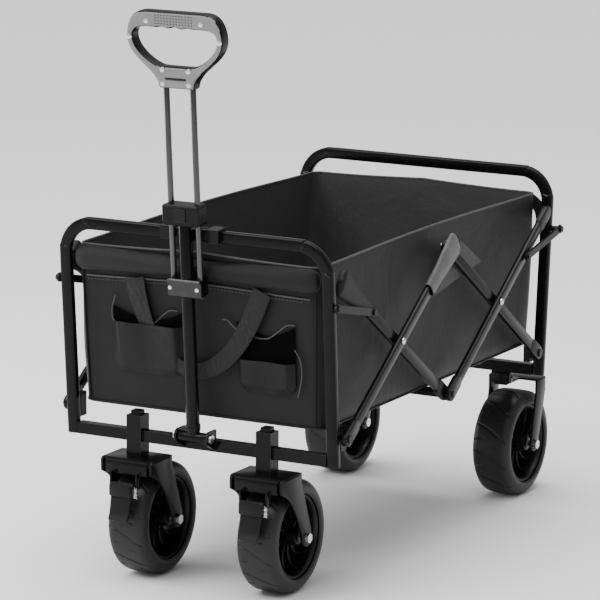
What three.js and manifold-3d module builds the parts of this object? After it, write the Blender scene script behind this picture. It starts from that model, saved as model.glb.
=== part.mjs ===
// Folding utility wagon with a telescopic pull handle.
// Millimetres, +Z up. X runs across the wagon, Y from the pull handle (-Y) to the tail (+Y).
// Pieces are drawn around a point on the ground midway between the two end frames. The assembly is
// then moved so that the origin lies under the middle of its whole length.
import * as THREE from 'three';
import { mergeVertices } from 'three/addons/utils/BufferGeometryUtils.js';
import Module from 'manifold-3d';

const wasm = await Module();
wasm.setup();

// ---------------------------------------------------------------- driving dimensions
const GAP = 0.3; // free space between touching pieces

const FRAME_HALF_WIDTH = 250; // outer faces of the end frames
const FRAME_BASE_Y = 386; // distance of an end frame from the middle at its lower end
const FRAME_BASE_Z = 231;
const FRAME_TOP_Z = 597;
const FRAME_LEAN = THREE.MathUtils.degToRad(4.4); // both end frames lean outwards
const FRAME_CORNER = 60; // outer radius of the bent corners
const TUBE_WIDTH = 20; // across X
const TUBE_DEPTH = 14; // across Y
const CROSSBAR_HEIGHT = 19;
const CROSSBAR_DEPTH = 16;

const ARM_ANGLE = THREE.MathUtils.degToRad(34); // slope of the scissor arms when open
const LOW_PIVOT_Z = 276;
const FRONT_PIVOT_Y = -375;
const REAR_PIVOT_Y = 365;
const ARM_HALF_HEIGHT = 10;
const ARM_END_RADIUS = 13;
const ARM_THICKNESS = 10;
const INNER_ARM_X = 241.5; // inner face of the inner arms
const OUTER_ARM_X = 252.5; // inner face of the outer arms
const PIN_RADIUS = 4;
const PIN_HOLE = 4.4;
const RIVET_HEAD = 7;

const LINK_SETBACK = 110; // from the free end of an arm to the link's bolt
const LINK_PIVOT_Z = 491; // bolt on the upright
const LINK_THICKNESS = 5;
const LINK_HALF_HEIGHT = 6.5;

const TUB_BASE_Z = 286;
const TUB_TOP_Z = 560;
const TUB_INNER_X = 217;
const WALL = 6;

const WHEEL_RADIUS = 94;
const WHEEL_WIDTH = 72;
const RIM_RADIUS = 69;
const AXLE_RADIUS = 5;
const AXLE_BORE = 5.5;
const HUB_RADIUS = 15;
const SPOKES = 10;
const FORK_GAP = 43; // from the wheel's middle plane to a fork leg
const LEG_THICKNESS = 5;

const CASTER_X = 120;
const CASTER_STEM_Y = -386;
const CASTER_TRAIL = 48;
const SOCKET_SIDE = 27;
const SOCKET_BASE_Z = 207.5;
const SOCKET_TOP_Z = 275;
const KINGPIN_RADIUS = 6;
const KINGPIN_BORE = 6.6;
const CROWN_TOP_Z = 207;
const PEDAL_PIVOT_Y = -436;
const PEDAL_PIVOT_Z = 165;

const REAR_WHEEL_X = 169;
const REAR_AXLE_Y = 428;
const REAR_FORK_Y = 452; // middle of the fork legs at the top
const REAR_PLATE_Z = 206;

const HANDLE_PIVOT_Y = -413;
const HANDLE_PIVOT_Z = 256;
const HANDLE_LEAN = THREE.MathUtils.degToRad(4.6);
const POST_RADIUS = 11;
const POST_TOP = 352; // heights on the handle are measured along it, from its pivot
const GUIDE_HEIGHT = 34;
const GUIDE_HALF_WIDTH = 33.5;
const GUIDE_HALF_DEPTH = 15;
const ROD_X = 24;
const ROD_RADIUS = 5;
const ROD_HOLE = 5.4;
const ROD_BOTTOM = 233;
const ROD_TOP = 594;
const SLIDER_BOTTOM = 235;
const SLIDER_TOP = 264;
const GRIP_BOTTOM = 572;
const GRIP_TOP = 694;
const GRIP_HALF_WIDTH = 86;
const GRIP_THICKNESS = 24;

const ORIGIN_Y = 20.8; // from the middle between the frames to the middle of the whole length

const SIDES = { right: 1, left: -1 };

// Lengths that follow from the numbers above.
const SPAN = REAR_PIVOT_Y - FRONT_PIVOT_Y;
const ARM_LENGTH = SPAN / 2 / Math.cos(ARM_ANGLE);
const ARM_RISE = ARM_LENGTH * Math.sin(ARM_ANGLE);
const MIDDLE_Y = (FRONT_PIVOT_Y + REAR_PIVOT_Y) / 2;
const HIGH_PIVOT_Z = LOW_PIVOT_Z + ARM_RISE;
const CROSSING_Z = LOW_PIVOT_Z + ARM_RISE / 2;
const FRONT_CROSSING_Y = (FRONT_PIVOT_Y + MIDDLE_Y) / 2;
const REAR_CROSSING_Y = (REAR_PIVOT_Y + MIDDLE_Y) / 2;

// Distance of an end frame's middle plane from the wagon's middle at height z.
function frameReach(z) {
  return FRAME_BASE_Y + (z - FRAME_BASE_Z) * Math.tan(FRAME_LEAN);
}

// ---------------------------------------------------------------- finishes
const FINISHES = {
  paint: { color: 0x17181a, roughness: 0.38, metalness: 0.55 },
  zinc: { color: 0xb9bcc0, roughness: 0.35, metalness: 0.9 },
  plastic: { color: 0x1b1c1e, roughness: 0.5, metalness: 0.0 },
  grip: { color: 0x1a1b1d, roughness: 0.62, metalness: 0.0 },
  tyre: { color: 0x222325, roughness: 0.8, metalness: 0.0 },
  fabric: { color: 0x1d1e20, roughness: 0.9, metalness: 0.0 },
};

// ---------------------------------------------------------------- solids
function toSolid(geometry) {
  const bare = new THREE.BufferGeometry();
  const source = geometry.index ? geometry.toNonIndexed() : geometry;
  bare.setAttribute('position', source.getAttribute('position'));
  const merged = mergeVertices(bare);
  const mesh = new wasm.Mesh({
    numProp: 3,
    vertProperties: new Float32Array(merged.getAttribute('position').array),
    triVerts: new Uint32Array(merged.index.array),
  });
  return new wasm.Manifold(mesh);
}

function toGeometry(solid) {
  const mesh = solid.getMesh();
  const geometry = new THREE.BufferGeometry();
  geometry.setAttribute('position', new THREE.BufferAttribute(mesh.vertProperties, 3));
  geometry.setIndex(new THREE.BufferAttribute(mesh.triVerts, 1));
  geometry.computeVertexNormals();
  return geometry;
}

function join(...pieces) {
  return toGeometry(pieces.map(toSolid).reduce((sum, piece) => sum.add(piece)));
}

function cut(base, ...tools) {
  return toGeometry(tools.map(toSolid).reduce((rest, tool) => rest.subtract(tool), toSolid(base)));
}

function common(a, b) {
  return toGeometry(toSolid(a).intersect(toSolid(b)));
}

// A box given by its lowest and highest corners.
function block(x0, x1, y0, y1, z0, z1) {
  const box = new THREE.BoxGeometry(x1 - x0, y1 - y0, z1 - z0);
  return box.translate((x0 + x1) / 2, (y0 + y1) / 2, (z0 + z1) / 2);
}

// A round bar along X, from x0 to x1, through (y, z).
function barX(radius, x0, x1, y, z, segments = 12) {
  const bar = new THREE.CylinderGeometry(radius, radius, Math.abs(x1 - x0), segments);
  return bar.rotateZ(Math.PI / 2).translate((x0 + x1) / 2, y, z);
}

// A round bar along Z, from z0 to z1, through (x, y).
function barZ(radius, z0, z1, x, y, segments = 12) {
  const bar = new THREE.CylinderGeometry(radius, radius, z1 - z0, segments);
  return bar.rotateX(Math.PI / 2).translate(x, y, (z0 + z1) / 2);
}

function extrude(shape, thickness, bevel = 0) {
  const geometry = new THREE.ExtrudeGeometry(shape, {
    depth: thickness - 2 * bevel,
    bevelEnabled: bevel > 0,
    bevelThickness: bevel,
    bevelSize: bevel,
    bevelOffset: -bevel,
    bevelSegments: 1,
    curveSegments: 4,
  });
  return geometry.translate(0, 0, bevel);
}

// A sheet or bar whose outline is drawn in (y, z), reaching from x0 along +X.
function profileX(shape, x0, thickness, bevel = 0) {
  const turn = new THREE.Matrix4().makeBasis(
    new THREE.Vector3(0, 1, 0),
    new THREE.Vector3(0, 0, 1),
    new THREE.Vector3(1, 0, 0),
  );
  return extrude(shape, thickness, bevel).applyMatrix4(turn).translate(x0, 0, 0);
}

// A sheet or bar whose outline is drawn in (x, z), centred on y = 0.
function profileY(shape, thickness, bevel = 0) {
  return extrude(shape, thickness, bevel).rotateX(Math.PI / 2).translate(0, thickness / 2, 0);
}

// Mirrors a right-hand piece to the left. Reversing each triangle keeps its faces outwards.
function mirrored(geometry) {
  const flat = geometry.index ? geometry.toNonIndexed() : geometry.clone();
  const position = flat.getAttribute('position');
  const copy = new Float32Array(position.array.length);
  for (let corner = 0; corner < position.count; corner += 1) {
    const step = corner % 3;
    const source = corner - step + (2 - step);
    copy[corner * 3] = -position.getX(source);
    copy[corner * 3 + 1] = position.getY(source);
    copy[corner * 3 + 2] = position.getZ(source);
  }
  const result = new THREE.BufferGeometry();
  result.setAttribute('position', new THREE.BufferAttribute(copy, 3));
  result.computeVertexNormals();
  return result;
}

function forSide(geometry, side) {
  return side === 'right' ? geometry : mirrored(geometry);
}

// Stands a piece drawn upright around y = 0, z = 0 in the plane of the front or rear frame.
function inFrame(geometry, end) {
  geometry.rotateX(end === 'front' ? FRAME_LEAN : -FRAME_LEAN);
  return geometry.translate(0, end === 'front' ? -FRAME_BASE_Y : FRAME_BASE_Y, FRAME_BASE_Z);
}

// ---------------------------------------------------------------- end frames
const FRAME_HEIGHT = (FRAME_TOP_Z - FRAME_BASE_Z) / Math.cos(FRAME_LEAN);

function endFrame(end) {
  const w = FRAME_HALF_WIDTH;
  const inner = w - TUBE_WIDTH;
  const top = FRAME_HEIGHT - TUBE_DEPTH;
  const r = FRAME_CORNER;
  const ri = FRAME_CORNER - TUBE_DEPTH - 3;
  const shape = new THREE.Shape();
  shape.moveTo(w, 0);
  shape.lineTo(w, FRAME_HEIGHT - r);
  shape.absarc(w - r, FRAME_HEIGHT - r, r, 0, Math.PI / 2, false);
  shape.absarc(-(w - r), FRAME_HEIGHT - r, r, Math.PI / 2, Math.PI, false);
  shape.lineTo(-w, 0);
  shape.lineTo(-inner, 0);
  shape.absarc(-(inner - ri), top - ri, ri, Math.PI, Math.PI / 2, true);
  shape.absarc(inner - ri, top - ri, ri, Math.PI / 2, 0, true);
  shape.lineTo(inner, 0);
  return inFrame(profileY(shape, TUBE_DEPTH, 2.5), end);
}

function crossbar(y) {
  const reach = FRAME_HALF_WIDTH - TUBE_WIDTH - GAP;
  const d = CROSSBAR_DEPTH / 2;
  return block(-reach, reach, y - d, y + d, FRAME_BASE_Z, FRAME_BASE_Z + CROSSBAR_HEIGHT);
}

// The front crossbar with its two caster sockets and the two ears that hold the pull handle.
function frontCrossbar() {
  const half = SOCKET_SIDE / 2;
  const pieces = [crossbar(-FRAME_BASE_Y)];
  for (const x of [-CASTER_X, CASTER_X]) {
    pieces.push(block(x - half, x + half, CASTER_STEM_Y - half, CASTER_STEM_Y + half,
      SOCKET_BASE_Z, SOCKET_TOP_Z));
  }
  const ear = new THREE.Shape();
  ear.moveTo(-FRAME_BASE_Y - 6, 233);
  ear.lineTo(-FRAME_BASE_Y - 6, 268);
  ear.lineTo(HANDLE_PIVOT_Y, HANDLE_PIVOT_Z + 12);
  ear.absarc(HANDLE_PIVOT_Y, HANDLE_PIVOT_Z, 12, Math.PI / 2, Math.PI * 1.35, false);
  for (const x of [26.5, -30.5]) {
    pieces.push(profileX(ear, x, 4));
  }
  const bores = [-CASTER_X, CASTER_X].map((x) => barZ(KINGPIN_BORE, 200, 280, x, CASTER_STEM_Y));
  bores.push(barX(PIN_HOLE, -40, 40, HANDLE_PIVOT_Y, HANDLE_PIVOT_Z));
  return cut(join(...pieces), ...bores);
}

// A clip on the front top bar, with an ear on each side of the handle to hold it upright.
function handleClip() {
  const barBack = TUBE_DEPTH / 2 + GAP;
  const top = FRAME_HEIGHT + 4;
  const low = FRAME_HEIGHT - TUBE_DEPTH - 4;
  const jaws = [[-53, -32], [32, 53]].map(([x0, x1]) => block(x0, x1, -16, barBack + 3, low, top));
  const strip = block(-40, 40, barBack, barBack + 3, FRAME_HEIGHT - TUBE_DEPTH, FRAME_HEIGHT);
  const channel = block(-60, 60, -barBack, barBack, FRAME_HEIGHT - TUBE_DEPTH - GAP,
    FRAME_HEIGHT + GAP);
  return inFrame(cut(join(...jaws, strip), channel), 'front');
}

// ---------------------------------------------------------------- scissor sides
// A flat bar from (y0, z0) to (y1, z1) with discs at its ends and bores where asked.
function barOutline(length, halfHeight, endRadius, bores) {
  const waist = Math.asin(halfHeight / endRadius);
  const shape = new THREE.Shape();
  shape.absarc(0, 0, endRadius, waist, 2 * Math.PI - waist, false);
  shape.absarc(length, 0, endRadius, waist - Math.PI, Math.PI - waist, false);
  for (const place of bores) {
    const bore = new THREE.Path();
    bore.absarc(place, 0, PIN_HOLE, 0, 2 * Math.PI, true);
    shape.holes.push(bore);
  }
  return shape;
}

function laidBar(outline, x0, thickness, bevel, from, to) {
  const slope = Math.atan2(to[1] - from[1], to[0] - from[0]);
  return profileX(outline, 0, thickness, bevel).rotateX(slope).translate(x0, from[0], from[1]);
}

const ARMS = {
  a: { x: OUTER_ARM_X, from: [FRONT_PIVOT_Y, LOW_PIVOT_Z], to: [MIDDLE_Y, HIGH_PIVOT_Z], bores: [0, 0.5, 1] },
  b: { x: INNER_ARM_X, from: [MIDDLE_Y, LOW_PIVOT_Z], to: [FRONT_PIVOT_Y, HIGH_PIVOT_Z], bores: [0, 0.5] },
  c: { x: OUTER_ARM_X, from: [MIDDLE_Y, LOW_PIVOT_Z], to: [REAR_PIVOT_Y, HIGH_PIVOT_Z], bores: [0, 0.5] },
  d: { x: INNER_ARM_X, from: [REAR_PIVOT_Y, LOW_PIVOT_Z], to: [MIDDLE_Y, HIGH_PIVOT_Z], bores: [0, 0.5, 1] },
};

function scissorArm({ x, from, to, bores }) {
  const places = bores.map((share) => share * ARM_LENGTH);
  const outline = barOutline(ARM_LENGTH, ARM_HALF_HEIGHT, ARM_END_RADIUS, places);
  return laidBar(outline, x, ARM_THICKNESS, 2.5, from, to);
}

// A rivet through both arms with a flat head on each side.
function rivet(y, z) {
  const inside = INNER_ARM_X - GAP;
  const outside = OUTER_ARM_X + ARM_THICKNESS + GAP;
  return join(
    barX(PIN_RADIUS, inside - 1, outside + 1, y, z),
    barX(RIVET_HEAD, inside - 2.5, inside, y, z),
    barX(RIVET_HEAD, outside, outside + 2.5, y, z),
  );
}

// The tube under the floor that joins the low middle pivots of both sides.
function crossTube() {
  const inside = INNER_ARM_X - 1;
  const outside = OUTER_ARM_X + ARM_THICKNESS + GAP;
  return join(
    barX(8, -inside, inside, MIDDLE_Y, LOW_PIVOT_Z),
    barX(PIN_RADIUS, -outside - 1, outside + 1, MIDDLE_Y, LOW_PIVOT_Z),
    barX(RIVET_HEAD, outside, outside + 2.5, MIDDLE_Y, LOW_PIVOT_Z),
    barX(RIVET_HEAD, -outside - 2.5, -outside, MIDDLE_Y, LOW_PIVOT_Z),
  );
}

// The block behind the front upright, with the pin that the outer arm turns on.
function frontPivot() {
  const outside = OUTER_ARM_X + ARM_THICKNESS + GAP;
  return join(
    block(232, 249.5, FRONT_PIVOT_Y - 5.3, FRONT_PIVOT_Y + 13, LOW_PIVOT_Z - 20, LOW_PIVOT_Z + 20),
    barX(PIN_RADIUS, 248, outside + 1, FRONT_PIVOT_Y, LOW_PIVOT_Z),
    barX(RIVET_HEAD, outside, outside + 2.5, FRONT_PIVOT_Y, LOW_PIVOT_Z),
  );
}

// The block in front of the rear upright, with the pin that the inner arm turns on.
function rearPivot() {
  const outside = INNER_ARM_X + ARM_THICKNESS + GAP;
  return join(
    block(226, 238.5, REAR_PIVOT_Y - 13, REAR_PIVOT_Y + 15, LOW_PIVOT_Z - 16, LOW_PIVOT_Z + 16),
    barX(PIN_RADIUS, 237, outside + 1, REAR_PIVOT_Y, LOW_PIVOT_Z),
    barX(RIVET_HEAD, outside, outside + 2.5, REAR_PIVOT_Y, LOW_PIVOT_Z),
  );
}

// The short swinging link between an upright and the free end of an arm.
function swingLink(end) {
  const front = end === 'front';
  const sign = front ? -1 : 1;
  const freeEndY = front ? FRONT_PIVOT_Y : REAR_PIVOT_Y;
  const from = [sign * frameReach(LINK_PIVOT_Z), LINK_PIVOT_Z];
  const to = [
    freeEndY - sign * LINK_SETBACK * Math.cos(ARM_ANGLE),
    HIGH_PIVOT_Z - LINK_SETBACK * Math.sin(ARM_ANGLE),
  ];
  const x = front ? OUTER_ARM_X : OUTER_ARM_X + ARM_THICKNESS + 1;
  const length = Math.hypot(to[0] - from[0], to[1] - from[1]);
  const outline = barOutline(length, LINK_HALF_HEIGHT, LINK_HALF_HEIGHT + 1.5, []);
  return join(
    laidBar(outline, x, LINK_THICKNESS, 1, from, to),
    barX(5, FRAME_HALF_WIDTH + 0.6, x + 1, from[0], from[1]),
    barX(5.5, x + LINK_THICKNESS - 1, x + LINK_THICKNESS + 3, from[0], from[1], 6),
    barX(5.5, x + LINK_THICKNESS - 1, x + LINK_THICKNESS + 3, to[0], to[1], 6),
  );
}

// ---------------------------------------------------------------- fabric tub
function tubEnd(end) {
  const half = TUB_INNER_X - GAP - 0.2;
  const sign = end === 'front' ? 1 : -1;
  const low = TUB_BASE_Z - FRAME_BASE_Z;
  const high = TUB_TOP_Z - FRAME_BASE_Z;
  return inFrame(block(-half, half, sign * 4 - WALL / 2, sign * 4 + WALL / 2, low, high), end);
}

function tubSide() {
  const low = frameReach(TUB_BASE_Z);
  const high = frameReach(TUB_TOP_Z) - 6;
  const shape = new THREE.Shape();
  shape.moveTo(-low, TUB_BASE_Z);
  shape.lineTo(low, TUB_BASE_Z);
  shape.lineTo(high, TUB_TOP_Z);
  shape.lineTo(-high, TUB_TOP_Z);
  return profileX(shape, TUB_INNER_X, WALL);
}

function tubFloor() {
  const half = TUB_INNER_X - GAP - 0.2;
  const reach = frameReach(TUB_BASE_Z) - 4 - WALL / 2 - 0.8;
  return block(-half, half, -reach, reach, TUB_BASE_Z, TUB_BASE_Z + WALL);
}

// ---------------------------------------------------------------- wheels
// Wheels are turned about X = 0 and moved to their axles afterwards.
function turned(points, segments) {
  const profile = points.map(([radius, x]) => new THREE.Vector2(radius, x));
  return new THREE.LatheGeometry(profile, segments).rotateZ(-Math.PI / 2);
}

function tyre() {
  const w = WHEEL_WIDTH / 2;
  const r = WHEEL_RADIUS;
  const seat = RIM_RADIUS + GAP;
  return turned([
    [seat, -w + 5], [seat + 6, -w], [r - 11, -w + 1], [r - 2, -w + 9], [r, 0],
    [r - 2, w - 9], [r - 11, w - 1], [seat + 6, w], [seat, w - 5], [seat, -w + 5],
  ], 24);
}

// The rim: a barrel, a hub and the spokes between them.
function rim() {
  const w = WHEEL_WIDTH / 2 - 5;
  const barrel = turned([
    [RIM_RADIUS - 6, -w], [RIM_RADIUS, -w], [RIM_RADIUS, w], [RIM_RADIUS - 6, w], [RIM_RADIUS - 6, -w],
  ], 24);
  const pieces = [barrel, barX(HUB_RADIUS, -34, 34, 0, 0)];
  for (let i = 0; i < SPOKES; i += 1) {
    const spoke = block(-7, 7, -3, 3, HUB_RADIUS - 3, RIM_RADIUS - 3);
    pieces.push(spoke.rotateX((i * 2 * Math.PI) / SPOKES));
  }
  return cut(join(...pieces), barX(AXLE_BORE, -50, 50, 0, 0));
}

function axle(reach) {
  return join(
    barX(AXLE_RADIUS, -reach, reach, 0, 0),
    barX(8.5, reach, reach + 5, 0, 0, 6),
    barX(8.5, -reach - 5, -reach, 0, 0, 6),
  );
}

// ---------------------------------------------------------------- front casters
// One caster fork for x = 0: kingpin, crown and two legs that sweep back to the axle.
function casterFork() {
  const axleY = CASTER_STEM_Y + CASTER_TRAIL;
  const crownFront = CASTER_STEM_Y - 38;
  const crownBack = CASTER_STEM_Y + 30;
  const reach = FORK_GAP + LEG_THICKNESS;
  const leg = new THREE.Shape();
  leg.moveTo(crownFront, CROWN_TOP_Z - 22);
  leg.lineTo(axleY - 15, WHEEL_RADIUS + 4);
  leg.absarc(axleY, WHEEL_RADIUS, 15, Math.PI * 0.92, Math.PI * 2.1, false);
  leg.lineTo(crownBack, CROWN_TOP_Z - 16);
  leg.lineTo(crownBack, CROWN_TOP_Z);
  leg.lineTo(crownFront, CROWN_TOP_Z);
  const pieces = [
    block(-reach, reach, crownFront, crownBack, CROWN_TOP_Z - 6, CROWN_TOP_Z),
    block(-reach, reach, crownFront, crownFront + 5, CROWN_TOP_Z - 26, CROWN_TOP_Z),
    profileX(leg, FORK_GAP, LEG_THICKNESS),
    profileX(leg, -reach, LEG_THICKNESS),
    barZ(KINGPIN_RADIUS, CROWN_TOP_Z - 3, SOCKET_TOP_Z + 8, 0, CASTER_STEM_Y),
    barZ(10, SOCKET_TOP_Z + GAP, SOCKET_TOP_Z + 8, 0, CASTER_STEM_Y, 6),
  ];
  for (const x of [-26, 22]) {
    pieces.push(block(x, x + 4, PEDAL_PIVOT_Y - 6, crownFront + 2, PEDAL_PIVOT_Z - 7, CROWN_TOP_Z - 6));
  }
  return cut(
    join(...pieces),
    barX(AXLE_RADIUS + GAP, -60, 60, axleY, WHEEL_RADIUS),
    barX(3.4, -30, 30, PEDAL_PIVOT_Y, PEDAL_PIVOT_Z),
  );
}

// The foot brake: a shoe behind its pin, a foot plate in front and below.
function brakePedal() {
  const outline = new THREE.Shape();
  outline.moveTo(PEDAL_PIVOT_Y + 5, PEDAL_PIVOT_Z - 22);
  outline.lineTo(PEDAL_PIVOT_Y + 6, PEDAL_PIVOT_Z);
  outline.absarc(PEDAL_PIVOT_Y, PEDAL_PIVOT_Z, 6, 0, Math.PI, false);
  outline.lineTo(PEDAL_PIVOT_Y - 22, PEDAL_PIVOT_Z - 34);
  outline.lineTo(PEDAL_PIVOT_Y - 31, PEDAL_PIVOT_Z - 46);
  outline.lineTo(PEDAL_PIVOT_Y - 29, PEDAL_PIVOT_Z - 54);
  outline.lineTo(PEDAL_PIVOT_Y - 12, PEDAL_PIVOT_Z - 50);
  const body = profileX(outline, -20, 40, 1.5);
  return join(body, barX(3, -30, 30, PEDAL_PIVOT_Y, PEDAL_PIVOT_Z));
}

// ---------------------------------------------------------------- rear forks
function rearFork() {
  const reach = FORK_GAP + LEG_THICKNESS;
  const top = REAR_PLATE_Z + LEG_THICKNESS;
  const leg = new THREE.Shape();
  leg.moveTo(REAR_FORK_Y - 18, top);
  leg.lineTo(REAR_AXLE_Y - 13, WHEEL_RADIUS + 3);
  leg.absarc(REAR_AXLE_Y, WHEEL_RADIUS, 13, Math.PI * 0.93, Math.PI * 2.05, false);
  leg.lineTo(REAR_FORK_Y + 18, top);
  const forward = FRAME_BASE_Y - CROSSBAR_DEPTH / 2;
  const pieces = [
    block(-reach, reach, forward, REAR_FORK_Y + 18, REAR_PLATE_Z, top),
    block(-18, 18, forward, FRAME_BASE_Y + CROSSBAR_DEPTH / 2, top - 1, FRAME_BASE_Z - GAP),
    profileX(leg, FORK_GAP, LEG_THICKNESS),
    profileX(leg, -reach, LEG_THICKNESS),
  ];
  return cut(join(...pieces), barX(AXLE_RADIUS + GAP, -60, 60, REAR_AXLE_Y, WHEEL_RADIUS));
}

// ---------------------------------------------------------------- pull handle
// The handle is drawn upright from its pivot and leant forwards by its group.
function handlePost() {
  const sleeve = barX(9, -26, 26, 0, 0);
  const post = barZ(POST_RADIUS, 0, POST_TOP, 0, 0);
  return cut(join(post, sleeve), barX(PIN_HOLE, -40, 40, 0, 0));
}

function handlePin() {
  return join(barX(PIN_RADIUS, -33, 33, 0, 0), barX(7, 31, 34.5, 0, 0), barX(7, -34.5, -31, 0, 0));
}

function roundedBlock(halfWidth, depth, z0, z1) {
  const r = 5;
  const shape = new THREE.Shape();
  shape.moveTo(-halfWidth + r, z0);
  shape.lineTo(halfWidth - r, z0);
  shape.absarc(halfWidth - r, z0 + r, r, -Math.PI / 2, 0, false);
  shape.absarc(halfWidth - r, z1 - r, r, 0, Math.PI / 2, false);
  shape.absarc(-halfWidth + r, z1 - r, r, Math.PI / 2, Math.PI, false);
  shape.absarc(-halfWidth + r, z0 + r, r, Math.PI, Math.PI * 1.5, false);
  return profileY(shape, depth, 2);
}

function rodHoles(z0, z1) {
  return [-ROD_X, ROD_X].map((x) => barZ(ROD_HOLE, z0, z1, x, 0));
}

const BUTTON_Z = [POST_TOP + 7, POST_TOP + 28];

function guideBlock() {
  const z0 = POST_TOP + GAP;
  const z1 = POST_TOP + GUIDE_HEIGHT;
  const pocket = block(-10, 10, -GUIDE_HALF_DEPTH - 1, -5, BUTTON_Z[0] - GAP, BUTTON_Z[1] + GAP);
  const body = roundedBlock(GUIDE_HALF_WIDTH, 2 * GUIDE_HALF_DEPTH, z0, z1);
  return cut(body, pocket, ...rodHoles(z0 - 5, z1 + 5));
}

function releaseButton() {
  return block(-9.7, 9.7, -GUIDE_HALF_DEPTH - 2, -9.5, BUTTON_Z[0], BUTTON_Z[1]);
}

function sliderBlock() {
  const body = roundedBlock(31, 26, SLIDER_BOTTOM, SLIDER_TOP);
  const postHole = barZ(POST_RADIUS + 0.6, SLIDER_BOTTOM - 5, SLIDER_TOP + 5, 0, 0);
  return cut(body, postHole, ...rodHoles(SLIDER_BOTTOM - 5, SLIDER_TOP + 5));
}

function pullRod(x) {
  return barZ(ROD_RADIUS, ROD_BOTTOM, ROD_TOP, x, 0);
}

// The loop of the grip with its finger hole, both halves in one.
function gripLoop() {
  const w = GRIP_HALF_WIDTH;
  const loop = new THREE.Shape();
  loop.moveTo(-32, GRIP_BOTTOM);
  loop.lineTo(32, GRIP_BOTTOM);
  loop.bezierCurveTo(34, GRIP_BOTTOM + 32, w + 4, GRIP_BOTTOM + 44, w, GRIP_TOP - 38);
  loop.bezierCurveTo(w - 2, GRIP_TOP - 12, w - 13, GRIP_TOP, w - 34, GRIP_TOP);
  loop.lineTo(-w + 34, GRIP_TOP);
  loop.bezierCurveTo(-w + 13, GRIP_TOP, -w + 2, GRIP_TOP - 12, -w, GRIP_TOP - 38);
  loop.bezierCurveTo(-w - 4, GRIP_BOTTOM + 44, -34, GRIP_BOTTOM + 32, -32, GRIP_BOTTOM);
  const hole = new THREE.Path();
  const low = GRIP_BOTTOM + 35;
  const high = GRIP_TOP - 26;
  hole.moveTo(-26, low);
  hole.bezierCurveTo(-46, low + 3, -78, low + 26, -75.5, high - 14);
  hole.bezierCurveTo(-74, high - 4, -66, high, -53, high);
  hole.lineTo(53, high);
  hole.bezierCurveTo(66, high, 74, high - 4, 75.5, high - 14);
  hole.bezierCurveTo(78, low + 26, 46, low + 3, 26, low);
  loop.holes.push(hole);
  const body = profileY(loop, GRIP_THICKNESS, 3);
  return cut(body, ...rodHoles(GRIP_BOTTOM - 5, ROD_TOP + GAP));
}

function gripHalf(sign) {
  const room = GRIP_HALF_WIDTH + 20;
  const near = sign * 0.15;
  const far = sign * GRIP_THICKNESS;
  const half = block(-room, room, Math.min(near, far), Math.max(near, far), GRIP_BOTTOM - 5, GRIP_TOP + 5);
  return common(gripLoop(), half);
}

// ---------------------------------------------------------------- assembly
const wagon = new THREE.Group();

function add(name, geometry, finish, parent = wagon) {
  const mesh = new THREE.Mesh(geometry, new THREE.MeshStandardMaterial(FINISHES[finish]));
  mesh.name = name;
  parent.add(mesh);
  return mesh;
}

function addEndFrames() {
  add('front_frame', endFrame('front'), 'paint');
  add('front_crossbar', frontCrossbar(), 'paint');
  add('rear_frame', endFrame('rear'), 'paint');
  add('rear_crossbar', crossbar(FRAME_BASE_Y), 'paint');
  add('handle_clip', handleClip(), 'plastic');
}

function addScissorSide(side) {
  for (const [letter, arm] of Object.entries(ARMS)) {
    add(`arm_${letter}_${side}`, forSide(scissorArm(arm), side), 'paint');
  }
  add(`front_pivot_${side}`, forSide(frontPivot(), side), 'plastic');
  add(`rear_pivot_${side}`, forSide(rearPivot(), side), 'plastic');
  add(`front_link_${side}`, forSide(swingLink('front'), side), 'paint');
  add(`rear_link_${side}`, forSide(swingLink('rear'), side), 'paint');
  add(`front_rivet_${side}`, forSide(rivet(FRONT_CROSSING_Y, CROSSING_Z), side), 'zinc');
  add(`rear_rivet_${side}`, forSide(rivet(REAR_CROSSING_Y, CROSSING_Z), side), 'zinc');
  add(`top_rivet_${side}`, forSide(rivet(MIDDLE_Y, HIGH_PIVOT_Z), side), 'zinc');
}

function addTub() {
  add('tub_front', tubEnd('front'), 'fabric');
  add('tub_rear', tubEnd('rear'), 'fabric');
  add('tub_right', tubSide(), 'fabric');
  add('tub_left', mirrored(tubSide()), 'fabric');
  add('tub_floor', tubFloor(), 'fabric');
}

function addWheel(name, x, y) {
  add(`${name}_tyre`, tyre(), 'tyre').position.set(x, y, WHEEL_RADIUS);
  add(`${name}_rim`, rim(), 'plastic').position.set(x, y, WHEEL_RADIUS);
  add(`${name}_axle`, axle(FORK_GAP + LEG_THICKNESS + GAP), 'zinc').position.set(x, y, WHEEL_RADIUS);
}

function addRunningGear(side) {
  const casterX = SIDES[side] * CASTER_X;
  const rearX = SIDES[side] * REAR_WHEEL_X;
  add(`caster_fork_${side}`, casterFork(), 'paint').position.x = casterX;
  add(`brake_pedal_${side}`, brakePedal(), 'plastic').position.x = casterX;
  add(`rear_fork_${side}`, rearFork(), 'paint').position.x = rearX;
  addWheel(`front_${side}`, casterX, CASTER_STEM_Y + CASTER_TRAIL);
  addWheel(`rear_${side}`, rearX, REAR_AXLE_Y);
}

function addHandle() {
  const handle = new THREE.Group();
  handle.rotation.x = HANDLE_LEAN;
  handle.position.set(0, HANDLE_PIVOT_Y, HANDLE_PIVOT_Z);
  wagon.add(handle);
  add('handle_pin', handlePin(), 'zinc', handle);
  add('handle_post', handlePost(), 'paint', handle);
  add('guide_block', guideBlock(), 'plastic', handle);
  add('release_button', releaseButton(), 'plastic', handle);
  add('slider_block', sliderBlock(), 'plastic', handle);
  add('pull_rod_right', pullRod(ROD_X), 'paint', handle);
  add('pull_rod_left', pullRod(-ROD_X), 'paint', handle);
  add('grip_front', gripHalf(-1), 'grip', handle);
  add('grip_rear', gripHalf(1), 'grip', handle);
}

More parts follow.
